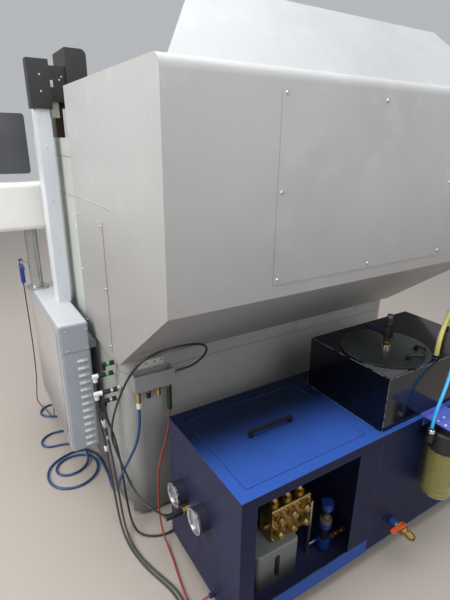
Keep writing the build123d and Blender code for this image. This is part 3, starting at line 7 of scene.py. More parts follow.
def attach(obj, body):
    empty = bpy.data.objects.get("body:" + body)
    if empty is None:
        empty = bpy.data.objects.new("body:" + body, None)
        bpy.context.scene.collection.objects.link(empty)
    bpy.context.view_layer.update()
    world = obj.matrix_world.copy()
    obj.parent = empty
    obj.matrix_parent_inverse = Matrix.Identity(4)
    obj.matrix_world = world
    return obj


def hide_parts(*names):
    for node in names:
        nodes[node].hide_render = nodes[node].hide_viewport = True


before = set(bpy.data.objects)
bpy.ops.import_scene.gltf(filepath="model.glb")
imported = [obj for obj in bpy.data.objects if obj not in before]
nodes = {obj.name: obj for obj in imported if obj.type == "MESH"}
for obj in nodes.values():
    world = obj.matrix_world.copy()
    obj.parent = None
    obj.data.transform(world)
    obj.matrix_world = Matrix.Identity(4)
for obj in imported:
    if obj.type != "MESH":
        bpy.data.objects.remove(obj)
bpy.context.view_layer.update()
scene = bpy.context.scene
ROOT = "machine"


# Materials

class Shader:
    """A principled material whose colour, roughness and bump are built up from procedural masks."""

    def __init__(self, name, colour, rough=0.5, metal=0.0, coat=0.0, ior=1.45):
        self.material = bpy.data.materials.new(name)
        self.material.use_nodes = True
        self.tree = self.material.node_tree
        self.main = self.tree.nodes["Principled BSDF"]
        self.main.inputs["Metallic"].default_value = metal
        self.main.inputs["Coat Weight"].default_value = coat
        self.main.inputs["Coat Roughness"].default_value = 0.1
        self.main.inputs["IOR"].default_value = ior
        self.coords = self.add("ShaderNodeTexCoord").outputs["Object"]
        self.main.inputs["Base Color"].default_value = (*colour, 1)
        self.main.inputs["Roughness"].default_value = rough
        self.colour = tuple(colour)
        self.rough = rough
        self.shine = metal
        self.height = None

    def add(self, kind, **settings):
        made = self.tree.nodes.new(kind)
        for key, value in settings.items():
            setattr(made, key, value)
        return made

    def link(self, source, target):
        self.tree.links.new(source, target)

    def scaled(self, scale):
        made = self.add("ShaderNodeMapping")
        made.inputs["Scale"].default_value = scale
        self.link(self.coords, made.inputs["Vector"])
        return made.outputs[0]

    def noise(self, scale, detail=3, stretch=(1, 1, 1), rough=0.55):
        made = self.add("ShaderNodeTexNoise")
        made.inputs["Scale"].default_value = scale
        made.inputs["Detail"].default_value = detail
        made.inputs["Roughness"].default_value = rough
        self.link(self.scaled(stretch), made.inputs["Vector"])
        return made.outputs["Fac"]

    def ramp(self, mask, low, high, start=0.0, end=1.0):
        made = self.add("ShaderNodeMapRange", interpolation_type="SMOOTHSTEP")
        made.inputs["From Min"].default_value = low
        made.inputs["From Max"].default_value = high
        made.inputs["To Min"].default_value = start
        made.inputs["To Max"].default_value = end
        self.link(mask, made.inputs["Value"])
        return made.outputs["Result"]

    def maths(self, operation, first, second=0.0):
        made = self.add("ShaderNodeMath", operation=operation)
        for place, value in enumerate((first, second)):
            if isinstance(value, (int, float)):
                made.inputs[place].default_value = value
            else:
                self.link(value, made.inputs[place])
        return made.outputs[0]

    def part(self, axis):
        made = self.add("ShaderNodeSeparateXYZ")
        self.link(self.coords, made.inputs[0])
        return made.outputs[axis]

    def tint(self, mask, colour, amount=1.0):
        made = self.add("ShaderNodeMix", data_type="RGBA")
        self.link(self.maths("MULTIPLY", mask, amount), made.inputs["Factor"])
        if isinstance(self.colour, tuple):
            made.inputs["A"].default_value = (*self.colour, 1)
        else:
            self.link(self.colour, made.inputs["A"])
        made.inputs["B"].default_value = (*colour, 1)
        self.colour = made.outputs["Result"]

    def roughen(self, mask, amount):
        self.rough = self.maths("ADD", self.rough, self.maths("MULTIPLY", mask, amount))

    def raise_by(self, mask, metres):
        step = self.maths("MULTIPLY", mask, metres)
        self.height = step if self.height is None else self.maths("ADD", self.height, step)

    def within(self, x=None, y=None, z=None):
        """One inside the limits, given in millimetres, and nothing outside them."""
        mask = None
        for axis, limits in (("X", x), ("Y", y), ("Z", z)):
            if limits is None:
                continue
            value = self.part(axis)
            for operation, limit in (("GREATER_THAN", limits[0]), ("LESS_THAN", limits[1])):
                side = self.maths(operation, value, limit / 1000)
                mask = side if mask is None else self.maths("MULTIPLY", mask, side)
        return mask

    def zone(self, colour, metal=None, x=None, y=None, z=None, amount=1.0):
        """Another colour, and metal or not, inside the limits."""
        mask = self.within(x, y, z)
        self.tint(mask, colour, amount)
        if metal is not None:
            less = self.maths("MULTIPLY", self.shine, self.maths("SUBTRACT", 1.0, mask))
            self.shine = self.maths("ADD", less, self.maths("MULTIPLY", mask, metal))

    def fade(self, colour, axis, start, stop, amount, z):
        """Another colour that comes in slowly from start to stop along an axis, given in millimetres."""
        low, high = sorted((start, stop))
        ends = (0.0, 1.0) if start < stop else (1.0, 0.0)
        mask = self.ramp(self.part(axis), low / 1000, high / 1000, *ends)
        if z is not None:
            mask = self.maths("MULTIPLY", mask, self.within(z=z))
        self.tint(mask, colour, amount)

    def seam(self, x, y, z):
        """A joint between two sheets: a dark, sunk line inside the limits."""
        mask = self.within(x, y, z)
        self.tint(mask, (0.02, 0.02, 0.02), 0.75)
        self.raise_by(mask, -0.0006)

    def edges(self, radius=0.002):
        bevel = self.add("ShaderNodeBevel", samples=4)
        bevel.inputs["Radius"].default_value = radius
        plain = self.add("ShaderNodeNewGeometry")
        dot = self.add("ShaderNodeVectorMath", operation="DOT_PRODUCT")
        self.link(bevel.outputs[0], dot.inputs[0])
        self.link(plain.outputs["Normal"], dot.inputs[1])
        return self.ramp(dot.outputs["Value"], 0.97, 0.86)

    def done(self):
        built = ((self.colour, "Base Color"), (self.rough, "Roughness"), (self.shine, "Metallic"))
        for value, socket in built:
            if not isinstance(value, (int, float, tuple)):
                self.link(value, self.main.inputs[socket])
        if self.height is not None:
            bump = self.add("ShaderNodeBump")
            bump.inputs["Distance"].default_value = 1.0
            bump.inputs["Strength"].default_value = 1.0
            self.link(self.height, bump.inputs["Height"])
            self.link(bump.outputs[0], self.main.inputs["Normal"])
        return self.material


def toned(colour, factor):
    return tuple(min(1.0, part * factor) for part in colour)


def paint(name, colour, rough=0.4, wear=None, grime=0.25, gloss=0.5, zones=(), fades=(), covers=()):
    """Powder or sprayed coat: slow tone drift, fine orange peel and smudges. Worn edges lie over the
    zones and fades, and covers lie over the wear."""
    made = Shader(name, colour, rough)
    made.main.inputs["Specular IOR Level"].default_value = gloss
    made.tint(made.ramp(made.noise(1.7, 4), 0.4, 0.7), toned(colour, 0.86), 0.7)
    made.tint(made.ramp(made.noise(9, 5), 0.52, 0.72), toned(colour, 1.12), 0.45)
    smudge = made.ramp(made.noise(14, 6, (1, 1, 0.35)), 0.56, 0.74)
    made.tint(smudge, toned(colour, 0.72), grime)
    made.roughen(smudge, 0.12)
    made.raise_by(made.noise(420, 2), 0.00003)
    for limits in zones:
        if "colour" in limits:
            made.zone(**limits)
        else:
            made.seam(**limits)
    for limits in fades:
        made.fade(**limits)
    if wear is not None:
        rubbed = made.maths("MULTIPLY", made.edges(), made.ramp(made.noise(60, 5), 0.42, 0.55))
        made.tint(rubbed, wear)
        made.roughen(rubbed, 0.15)
    for cover in covers:
        made.zone(**cover)
    return made.done()


def metal(name, colour, rough=0.3, stretch=(1, 1, 1), stain=(0.25, 0.2, 0.15), amount=0.3, zones=()):
    """Bare metal with a brushed or turned grain and a little stain."""
    made = Shader(name, colour, rough, metal=1.0)
    grain = made.noise(300, 3, stretch)
    made.tint(made.ramp(made.noise(25, 5), 0.5, 0.75), stain, amount)
    made.tint(made.ramp(grain, 0.35, 0.75), toned(colour, 0.75), 0.5)
    for zone in zones:
        made.zone(**zone)
    made.roughen(grain, 0.12)
    made.raise_by(grain, 0.00002)
    return made.done()


def plastic(name, colour, rough=0.45, coat=0.0, grain=0.00003, zones=()):
    """Moulded plastic or rubber: fine grain, dust and a slight change of tone."""
    made = Shader(name, colour, rough, coat=coat)
    made.tint(made.ramp(made.noise(7, 4), 0.42, 0.7), toned(colour, 0.8), 0.6)
    made.tint(made.ramp(made.noise(90, 5), 0.6, 0.78), tuple(part * 0.7 + 0.18 for part in colour), 0.25)
    for zone in zones:
        made.zone(**zone)
    made.roughen(made.noise(30, 3), 0.1)
    made.raise_by(made.noise(700, 2), grain)
    return made.done()


def clear(name, colour, rough=0.08, transmission=0.85):
    """Clear or tinted plastic, slightly scuffed."""
    made = Shader(name, colour, rough, ior=1.35)
    made.main.inputs["Transmission Weight"].default_value = transmission
    made.tint(made.ramp(made.noise(30, 5), 0.5, 0.8), toned(colour, 0.8), 0.4)
    made.roughen(made.ramp(made.noise(120, 4), 0.5, 0.8), 0.15)
    return made.done()


def zone(colour, metal=None, x=None, y=None, z=None, amount=1.0):
    return {"colour": colour, "metal": metal, "x": x, "y": y, "z": z, "amount": amount}


def seam(x, y, z):
    return {"x": x, "y": y, "z": z}


def fade(colour, axis, start, stop, amount, z=None):
    return {"colour": colour, "axis": axis, "start": start, "stop": stop, "amount": amount, "z": z}


WHITE = (0.70, 0.71, 0.70)
BLACK = (0.012, 0.012, 0.013)
SILVER = (0.66, 0.66, 0.66)
BRASS = (0.62, 0.42, 0.16)
BRASS_STAIN = (0.14, 0.08, 0.03)
DEEP_BLUE = (0.012, 0.035, 0.20)
# Painted sheen: the unit's blue paint in the brighter tone its top takes from the ceiling lights.
LIT_TOP_BLUE = (0.030, 0.090, 0.38)
GREEN = (0.10, 0.42, 0.10)
DARK_PLASTIC = (0.015, 0.015, 0.016)
CABINET_WEAR = (0.42, 0.36, 0.30)
SHEET_SIDE = (784, 786)
HOOD_SIDE = (150, 640)
SPLASH_SIDE = (-700, 161)
UNIT_FRONT = (1288, 1296)
BAY = (58, 667)
UNIT_SHADE = ((0.003, 0.004, 0.008), "Y", 1220, 930, 0.95)
REGULATOR = {"x": (160, 232), "y": (1170, 1224)}
look = {
    "hood": paint("hood_coat", (0.47, 0.475, 0.475), 0.42, grime=0.12, zones=[
        # Painted highlight: a light line on the side sheet just above the seam, where the bent edge catches
        # the light.
        zone((0.72, 0.72, 0.70), x=SHEET_SIDE, y=HOOD_SIDE, z=(1393, 1396.5)),
        seam(SHEET_SIDE, HOOD_SIDE, (1391, 1393))], fades=[
        # Painted shade: the hood darkens from 1650 mm down to 1050 mm, towards its shaded underside.
        fade((0.27, 0.262, 0.25), "Z", 1650, 1050, 0.7)]),
    "guard": paint("guard_coat", (0.44, 0.455, 0.47), 0.42, grime=0.12),
    "base": paint("base_coat", (0.31, 0.315, 0.31), 0.5, wear=(0.5, 0.5, 0.48), grime=0.5, zones=[
        seam((-800, 800), (-700, 700), (733, 735))], fades=[
        fade((0.10, 0.09, 0.075), "Z", 260, 20, 0.75)]),
    "cabinet": paint("cabinet_coat", (0.37, 0.40, 0.45), 0.45, wear=CABINET_WEAR, zones=[
        seam((800, 950), (303, 306), (741, 743.5)),
        # Painted highlight: the louvre row painted lighter, standing in for the lit tops of the pressed
        # louvres.
        zone((0.58, 0.60, 0.61), x=(850, 908), y=(304.3, 320)),
        # Painted highlight: a light band along the cabinet's top edge.
        zone((0.54, 0.56, 0.58), z=(873, 876))]),
    # Painted light: the door uses the cabinet's paint in a lighter, warmer tone, for the light its face
    # catches; it also fades darker towards the bottom.
    "cabinet_door": paint("cabinet_door_lit_coat", (0.44, 0.42, 0.41), 0.42, wear=CABINET_WEAR, fades=[
        fade((0.20, 0.19, 0.19), "Z", 640, 240, 0.85)]),
    "duct": paint("duct_coat", (0.66, 0.70, 0.75), 0.42),
    # Painted shade: the manifold block has the head's light grey darkened to the shade it sits in.
    "block": paint("shaded_block_coat", (0.25, 0.25, 0.26), 0.4, wear=(0.5, 0.5, 0.5)),
    "bridge": paint("bridge_coat", (0.022, 0.02, 0.02), 0.45, grime=0.1, zones=[
        zone((0.55, 0.53, 0.45), x=(768, 804), y=(-67, -15), z=(1699, 1762.2)),
        zone((0.05, 0.032, 0.022), x=(743, 779), y=(-151, -65), z=(780, 1761))]),
    "splash": paint("splash_coat", (0.50, 0.53, 0.50), 0.35, zones=[
        seam(SHEET_SIDE, SPLASH_SIDE, (1544, 1546.5)),
        seam(SHEET_SIDE, SPLASH_SIDE, (1384, 1386.5))]),
    "door": paint("door_coat", (0.50, 0.53, 0.50), 0.35, zones=[zone(BLACK, y=(-700, -613.5))]),
    "white": paint("white_coat", (0.86, 0.87, 0.85), 0.35, grime=0.12),
    "cream": paint("cream_coat", (0.55, 0.53, 0.45), 0.5, grime=0.4),
    "unit": paint("unit_coat", (0.022, 0.025, 0.068), 0.4, wear=(0.10, 0.13, 0.26), grime=0.3, gloss=0.15,
                  # Painted shade: the unit's front face painted darker than its sides.
                  zones=[zone((0.006, 0.011, 0.042), y=(1292.5, 1296)),
                         # Painted sheen: the unit's top rim painted in the lit top blue.
                         zone(LIT_TOP_BLUE, z=(627.5, 631)),
                         # Painted highlight: the front face of the bottom rail under the pump bay painted a
                         # brighter, lit blue.
                         zone((0.018, 0.065, 0.30), x=BAY, y=UNIT_FRONT, z=(60, 139)),
                         # Painted highlight: a light line along the bottom rim of the tank's front.
                         zone((0.10, 0.15, 0.30), x=(-785, 58), y=UNIT_FRONT, z=(66, 78)),
                         # Painted shade: the inside of the pump bay darkened almost to black.
                         zone((0.002, 0.003, 0.008), x=BAY, y=(797, 1290.5), z=(76, 626), amount=0.9)],
                  fades=[fade(*UNIT_SHADE, z=(626, 632))]),
    # The pump lid: painted sheen, the unit's paint in its lit top blue, darkening towards the rear as
    # painted shade.
    "lit_top": paint("lit_top_coat", LIT_TOP_BLUE, 0.4, wear=(0.02, 0.04, 0.14), gloss=0.2,
                      fades=[fade(*UNIT_SHADE)], covers=[zone(BLACK, z=(630.4, 700))]),
    "gauge": metal("gauge_case", (0.80, 0.80, 0.80), 0.12, amount=0.1, zones=[
        zone((0.026, 0.028, 0.046), 0.0, x=(600, 706))]),
    "head": paint("head_coat", (0.60, 0.61, 0.60), 0.4),
    "drive": paint("drive_coat", (0.17, 0.185, 0.17), 0.5, wear=(0.1, 0.1, 0.09), grime=0.8, zones=[
        zone((0.03, 0.05, 0.10), y=(0, 1027)), zone((0.010, 0.011, 0.010), z=(242, 400))], fades=[
        fade((0.025, 0.022, 0.02), "Z", 190, 90, 0.8)]),
    "pump": metal("pump_brass", (0.44, 0.31, 0.12), 0.28, stain=(0.05, 0.035, 0.015), amount=0.85),
    "steel": metal("ground_steel", (0.55, 0.55, 0.54), 0.28, (1, 1, 8)),
    "screw": metal("screw_steel", (0.62, 0.62, 0.62), 0.3),
    "aluminium": metal("milled_aluminium", (0.72, 0.73, 0.74), 0.35, (1, 6, 1)),
    "chrome": metal("bright_plating", (0.80, 0.80, 0.80), 0.1, amount=0.1),
    "brass": metal("cast_brass", BRASS, 0.26, stain=BRASS_STAIN, amount=0.7),
    "fittings": metal("fitting_brass", BRASS, 0.3, stain=BRASS_STAIN, amount=0.6, zones=[
        zone(WHITE, 0.0, x=(715, 745), z=(600, 625)), zone(BLACK, 0.0, x=(660, 714), z=(630, 664)),
        zone((0.02, 0.035, 0.02), 0.0, x=(570, 612), z=(550, 664))]),
    "piping": metal("pump_pipe_steel", (0.50, 0.49, 0.45), 0.3, zones=[
        zone(BRASS, 1.0, x=(60, 171), z=(80, 150)), zone(BLACK, 0.0, z=(72, 292), **REGULATOR),
        zone(DEEP_BLUE, 0.0, z=(92, 134), **REGULATOR), zone(DEEP_BLUE, 0.0, z=(197, 222), **REGULATOR),
        zone((0.11, 0.10, 0.07), 0.0, z=(222, 262), **REGULATOR),
        zone(DEEP_BLUE, 0.0, z=(287, 322), **REGULATOR),
        zone(BRASS, 1.0, x=(682, 699)), zone(BLACK, 0.0, x=(699, 900))]),
    "valve": metal("lid_valve_metal", SILVER, 0.25, zones=[
        zone((0.16, 0.09, 0.05), 1.0, z=(868.5, 904)), zone(BRASS, 1.0, z=(880, 886)),
        zone((0.05, 0.05, 0.055), 1.0, z=(904, 951)), zone(BLACK, 0.0, z=(951, 984)),
        zone((0.20, 0.21, 0.23), 1.0, z=(984, 1000))]),
    "drain": metal("drain_brass", BRASS, 0.26, stain=BRASS_STAIN, amount=0.3, zones=[
        zone((0.02, 0.05, 0.20), 0.0, y=(1290, 1318.5)), zone(SILVER, 1.0, y=(1318.5, 1330))]),
    "connectors": plastic("connector_plastic", DARK_PLASTIC, zones=[
        zone(SILVER, 1.0, x=(769, 783)), zone(GREEN, x=(803, 815), z=(682, 790)),
        zone(SILVER, 1.0, x=(803, 812), z=(570, 680)),
        zone(WHITE, x=(846, 880), z=(630, 730))]),
    "lid": paint("lid_coat", (0.012, 0.015, 0.015), 0.3, wear=(0.25, 0.26, 0.27), grime=0.5, gloss=0.4,
                 fades=[fade((0.055, 0.062, 0.064), "X", -60, -330, 0.7)],
                 covers=[zone((0.004, 0.004, 0.004), z=(858.6, 900))]),
    "black_plastic": plastic("black_plastic", DARK_PLASTIC),
    "grey_plastic": plastic("grey_plastic", (0.35, 0.36, 0.37)),
    "white_plastic": plastic("white_plastic", (0.66, 0.66, 0.64), 0.4),
    "module": plastic("module_plastic", (0.30, 0.31, 0.31)),
    "screen_case": plastic("screen_plastic", (0.075, 0.079, 0.088), 0.4),
    "screen_glass": plastic("screen_glass", (0.006, 0.012, 0.03), 0.06, coat=0.8, grain=0),
    "dial": plastic("dial_white", (0.48, 0.49, 0.48), 0.5),
    "green": plastic("green_plastic", GREEN, 0.35, coat=0.3),
    "red": plastic("red_plastic", (0.55, 0.02, 0.02), 0.3, coat=0.4),
    "gun": plastic("gun_plastic", (0.015, 0.045, 0.30), 0.35, coat=0.2),
    "lever": plastic("lever_sleeve", (0.006, 0.008, 0.030), 0.25, coat=0.5),
    "orange": plastic("orange_sleeve", (0.62, 0.085, 0.02), 0.35, coat=0.3),
    "filter": plastic("filter_plastic", (0.018, 0.018, 0.02), 0.4, zones=[
        zone((0.10, 0.13, 0.55), z=(629.7, 640)), zone((0.06, 0.09, 0.40), y=(1290, 1298.2))]),
    "cartridge": plastic("cartridge_paper", (0.46, 0.42, 0.13), 0.7, grain=0.0002),
    "blue_tube": plastic("blue_tube", (0.010, 0.055, 0.18), 0.25, coat=0.4, grain=0),
    "bright_tube": plastic("bright_blue_tube", (0.03, 0.42, 0.88), 0.22, coat=0.6, grain=0),
    "red_tube": plastic("red_tube", (0.30, 0.045, 0.04), 0.4, coat=0.2),
    "brown_tube": plastic("brown_tube", (0.06, 0.03, 0.025), 0.4),
    "black_tube": plastic("black_tube", (0.012, 0.012, 0.013), 0.35, coat=0.3, grain=0),
    "cable": plastic("cable_sheath", (0.05, 0.05, 0.052), 0.5),
    "yellow_tube": clear("yellow_tube", (0.62, 0.56, 0.20), 0.2, 0.3),
    "pane": clear("clear_pane", (0.75, 0.82, 0.78), 0.06, 0.9),
    "glass": clear("gauge_glass", (0.9, 0.93, 0.93), 0.03, 0.95),
    "bowl": clear("clear_bowl", (0.80, 0.76, 0.45), 0.08, 0.9),
}


def box_coat():
    """Polished dark sheet with rows of small holes near one corner of its top."""
    made = Shader("tank_box_coat", (0.002, 0.003, 0.006), 0.14, coat=0.15)
    made.main.inputs["Specular IOR Level"].default_value = 0.35
    made.tint(made.ramp(made.noise(9, 5), 0.52, 0.72), (0.006, 0.008, 0.016), 0.6)
    smudge = made.ramp(made.noise(14, 6, (1, 1, 0.35)), 0.56, 0.74)
    made.roughen(smudge, 0.12)
    rows = [made.maths("SINE", made.maths("MULTIPLY", made.part(axis), 900)) for axis in ("X", "Y")]
    holes = made.ramp(made.maths("MULTIPLY", rows[0], rows[1]), 0.25, 0.5)
    field = made.within(x=(-60, 46), y=(1150, 1272), z=(849, 851))
    made.tint(made.maths("MULTIPLY", holes, field), (0.25, 0.26, 0.26))
    chipped = made.maths("MULTIPLY", made.edges(0.003), made.ramp(made.noise(45, 5), 0.40, 0.5))
    made.tint(chipped, (0.40, 0.40, 0.42))
    made.roughen(chipped, 0.2)
    made.raise_by(made.noise(420, 2), 0.00001)
    return made.done()


look["tank_box"] = box_coat()
dressing = {
    "base_casting": "base", "levelling_feet": "steel", "work_table": "steel", "column": "base",
    "x_saddle": "aluminium", "ram": "head", "head_frame": "head", "spindle_slide": "aluminium",
    "spindle": "steel", "electrode": "brass", "guide_arm": "aluminium", "hood": "hood",
    "rear_panel": "hood", "side_panel": "hood", "panel_screws": "screw", "roof_guard": "guard",
    "splash_guard": "splash", "front_door": "door", "door_window": "pane", "cable_duct": "duct",
    "cable_bridge": "bridge", "electrical_cabinet": "cabinet", "cabinet_door": "cabinet_door",
    "control_modules": "module", "console_post": "steel", "console": "white", "monitor": "screen_case",
    "cycle_button": "green", "emergency_stop": "red", "air_gun": "gun", "gun_trigger": "gun",
    "manifold_block": "block", "manifold_fittings": "fittings", "side_connectors": "connectors",
    "pump_cabinet": "unit", "pump_lid": "lit_top", "tank": "unit", "tank_box": "tank_box",
    "round_lid": "lid", "lid_valve": "valve", "lid_lever": "lever", "drain_valve": "drain",
    "drain_lever": "orange", "gauges": "gauge", "gauge_pointer_1": "black_plastic",
    "gauge_pointer_2": "black_plastic", "pump_head": "pump", "pump_drive": "drive",
    "pump_piping": "piping", "filter_housing": "filter", "filter_bowl": "bowl",
}
for node, key in dressing.items():
    nodes[node].data.materials.clear()
    nodes[node].data.materials.append(look[key])


# Shaping, in millimetres

def set_on(part, place, way):
    turn = Vector((0, 0, 1)).rotation_difference(Vector(way)).to_matrix().to_4x4()
    bmesh.ops.transform(part, matrix=Matrix.Translation(Vector(place) / 1000) @ turn, verts=part.verts)


def join_in(shape, part):
    bmesh.ops.remove_doubles(part, verts=part.verts, dist=0.00001)
    bmesh.ops.recalc_face_normals(part, faces=part.faces)
    spare = bpy.data.meshes.new("spare")
    part.to_mesh(spare)
    part.free()
    shape.from_mesh(spare)
    bpy.data.meshes.remove(spare)


def turned(shape, outline, place, way, steps=32):
    """An outline of radius and height pairs, spun round the axis that leaves place along way."""
    part = bmesh.new()
    corners = [part.verts.new((radius / 1000, 0, rise / 1000)) for radius, rise in outline]
    lines = [part.edges.new(pair) for pair in zip(corners, corners[1:])]
    bmesh.ops.spin(part, geom=corners + lines, cent=(0, 0, 0), axis=(0, 0, 1), angle=math.tau,
                   steps=steps, use_merge=True)
    set_on(part, place, way)
    join_in(shape, part)


def slab(shape, low, high, soften=1.0, matrix=None):
    """A block between two corners with rounded edges."""
    part = bmesh.new()
    bmesh.ops.create_cube(part, size=1)
    bmesh.ops.scale(part, vec=(Vector(high) - Vector(low)) / 1000, verts=part.verts)
    bmesh.ops.bevel(part, geom=part.edges[:], offset=soften / 1000, affect="EDGES", segments=2,
                    profile=0.5, material=-1)
    bmesh.ops.translate(part, vec=(Vector(high) + Vector(low)) / 2000, verts=part.verts)
    if matrix is not None:
        bmesh.ops.transform(part, matrix=matrix, verts=part.verts)
    join_in(shape, part)


def screw(shape, place, way, radius=4.0):
    """A round screw head with a socket."""
    turned(shape, [(radius, 0), (radius, 0.35 * radius), (0.8 * radius, 0.6 * radius),
                   (0.42 * radius, 0.66 * radius), (0.36 * radius, 0.2 * radius), (0, 0.2 * radius)],
           place, way, 16)


def finish_piece(shape, name, key, body=ROOT, angle=35):
    mesh = bpy.data.meshes.new(name)
    shape.to_mesh(mesh)
    shape.free()
    mesh.polygons.foreach_set("use_smooth", [True] * len(mesh.polygons))
    mesh.set_sharp_from_angle(angle=math.radians(angle))
    made = bpy.data.objects.new(name, mesh)
    scene.collection.objects.link(made)
    mesh.materials.append(look[key])
    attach(made, body)
    return made


def collar(name, centre, run, radius, length, key):
    """A sleeve on a cable, with rounded ends."""
    shape = bmesh.new()
    half = length / 2
    turned(shape, [(radius * 0.55, -half), (radius * 0.9, -half), (radius, 1.5 - half), (radius, half - 1.5),
                   (radius * 0.9, half), (radius * 0.55, half), (radius * 0.55, -half)], centre, run)
    return finish_piece(shape, name, key)


# Hoses and cables, on the same routes as the solids

def cord(name, points, diameter, key):
    curve = bpy.data.curves.new(name, "CURVE")
    curve.dimensions = "3D"
    curve.bevel_depth = diameter / 2
    curve.bevel_resolution = 5
    curve.resolution_u = 10
    curve.use_fill_caps = True
    spline = curve.splines.new("NURBS")
    spline.points.add(len(points) - 1)
    for place, point in zip(spline.points, points):
        place.co = (point[0] / 1000, point[1] / 1000, point[2] / 1000, 1)
    spline.order_u = 3
    spline.use_endpoint_u = True
    made = bpy.data.objects.new(name, curve)
    scene.collection.objects.link(made)
    curve.materials.append(look[key])
    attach(made, ROOT)
    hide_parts(name)
    return made


ferrite = collar("ferrite", (838, 497.5, 477.5), (-12, 5, -65), 10, 34, "white_plastic")
cable_tie = collar("cable_tie", (829, 505, 410), (-6, 10, -70), 7, 15, "grey_plastic")
cable_clip = collar("cable_clip", (839.5, 503, 355), (-3, 10, -70), 8.5, 24, "white_plastic")

cord("pressure_hose", [
    (563, 640, 724), (534, 640, 724), (492, 666, 744), (462, 700, 792), (468, 740, 850), (515, 768, 890),
    (580, 788, 908), (645, 788, 912), (705, 774, 898), (757, 752, 862), (790, 726, 805), (810, 698, 738),
    (822, 660, 665), (830, 625, 590), (836, 602, 525), (838, 598, 470), (832, 622, 425), (826, 658, 388),
    (819, 700, 350), (811, 745, 314), (796, 805, 288), (760.8, 896.5, 291), (756.6, 932.6, 312)
], 0.009, "black_tube")
cord("blue_hose", [
    (729, 640, 600), (729, 640, 555), (735, 642, 500), (748, 641, 440), (770, 630, 380), (793, 612, 320),
    (810, 588, 255), (810, 555, 190), (810, 515, 130), (808, 470, 80), (802, 412, 38), (792, 350, 13),
    (783, 290, 7), (780, 225, 7), (780, 155, 7), (784, 88, 7), (808, 30, 7), (860, 0, 7), (922, 4, 7),
    (980, 26, 7), (1026, 64, 7), (1049, 120, 7), (1048, 180, 7), (1024, 230, 7), (982, 262, 7),
    (930, 274, 7), (874, 260, 7), (830, 224, 7), (806, 175, 7), (802, 118, 7), (822, 70, 7), (868, 38, 7),
    (924, 32, 7), (972, 50, 7), (1001, 88, 7), (1000, 132, 7), (974, 162, 7), (930, 173, 7), (884, 160, 7),
    (848, 128, 10), (832, 86, 19), (832, 38, 23), (838, -8, 21), (856, -50, 12), (890, -82, 7),
    (938, -98, 7), (984, -104, 7), (1018, -126, 7), (1026, -166, 7), (1006, -206, 7), (960, -230, 7),
    (908, -222, 7), (862, -216, 7), (832, -244, 7), (826, -294, 7), (842, -346, 7), (882, -384, 7),
    (930, -402, 7), (966, -432, 7), (976, -476, 7), (954, -518, 7), (908, -540, 7), (864, -524, 7),
    (846, -482, 8), (856, -436, 14), (870, -394, 24), (880, -350, 42), (887, -304, 74), (890, -266, 118),
    (890, -250, 166), (890, -250, 205)
], 0.012, "blue_tube")
cord("cable_a", [
    (858, 505, 690), (858, 505, 645), (855, 500, 580), (844, 495, 510), (832, 500, 445), (826, 510, 375),
    (823, 526, 305), (822, 548, 235), (822, 572, 165), (823, 598, 100), (825, 630, 45), (825, 674, 14),
    (824, 735, 6), (814, 805, 6), (796, 870, 6), (773, 935, 6), (752, 1000, 6), (748, 1060, 6),
    (756, 1115, 7), (766, 1165, 18), (767, 1207, 46), (754, 1230, 80), (726, 1234, 100), (692, 1234, 100)
], 0.009, "cable")
cord("cable_b", [
    (868, 545, 633), (868, 545, 588), (861, 524, 525), (850, 503, 460), (841, 498, 390), (838, 508, 320),
    (837, 528, 250), (837, 552, 180), (837, 578, 115), (838, 608, 58), (839, 650, 20), (838, 715, 6),
    (831, 785, 6), (816, 855, 6), (795, 920, 6), (772, 985, 6), (764, 1045, 6), (764, 1095, 10),
    (762, 1142, 32), (758, 1174, 66), (744, 1188, 93), (720, 1190, 100), (692, 1190, 100)
], 0.009, "cable")
cord("floor_hose", [
    (832, 520, 576), (832, 520, 530), (820, 528, 475), (808, 540, 415), (802, 552, 350), (797, 566, 280),
    (797, 580, 210), (797, 597, 145), (797, 620, 88), (796, 652, 42), (783, 692, 14), (744, 724, 6),
    (690, 748, 6), (638, 748, 10), (594, 732, 30), (566, 713, 62), (560, 722, 98), (560, 744, 110),
    (560, 772, 110)
], 0.009, "black_tube")
cord("red_hose", [
    (595, 640, 554), (596, 640, 512), (612, 656, 465), (638, 674, 420), (664, 690, 370), (681, 698, 310),
    (688, 704, 245), (692, 708, 180), (694, 714, 118), (696, 734, 62), (698, 768, 22), (700, 820, 5),
    (708, 880, 5), (720, 945, 5), (730, 1010, 5), (735, 1060, 6), (741, 1098, 20), (743, 1130, 54),
    (739, 1145, 86), (722, 1146, 100), (692, 1146, 100)
], 0.008, "red_tube")
cord("gun_hose", [
    (968, -396, 876), (968, -396, 825), (967, -400, 750), (966, -407, 665), (965, -416, 580),
    (964, -427, 495), (964, -442, 410), (964, -460, 325), (966, -484, 245), (968, -512, 172),
    (970, -544, 115), (971, -568, 70), (968, -574, 36), (957, -548, 18), (944, -500, 18), (932, -440, 18),
    (923, -380, 22), (919, -334, 44), (917, -308, 84), (918, -301, 128), (918, -300, 168), (918, -300, 205)
], 0.006, "brown_tube")
cord("filter_tube", [
    (-160, 1340, 612), (-160, 1340, 658), (-178, 1338, 706), (-205, 1333, 752), (-240, 1322, 797),
    (-283, 1305, 846), (-322, 1290, 893), (-362, 1273, 930), (-406, 1254, 946), (-448, 1235, 936),
    (-470, 1225, 901), (-470, 1225, 862)
], 0.013, "bright_tube")
cord("yellow_hose", [
    (-240, 1256, 862), (-240, 1256, 893), (-256, 1249, 930), (-292, 1234, 956), (-340, 1212, 967),
    (-395, 1185, 968), (-452, 1155, 966), (-500, 1129, 950), (-528, 1113, 922), (-538, 1108, 890),
    (-538, 1108, 862)
], 0.018, "yellow_tube")


# Gauges on the unit's side: dial, marks, figures, bezel and glass

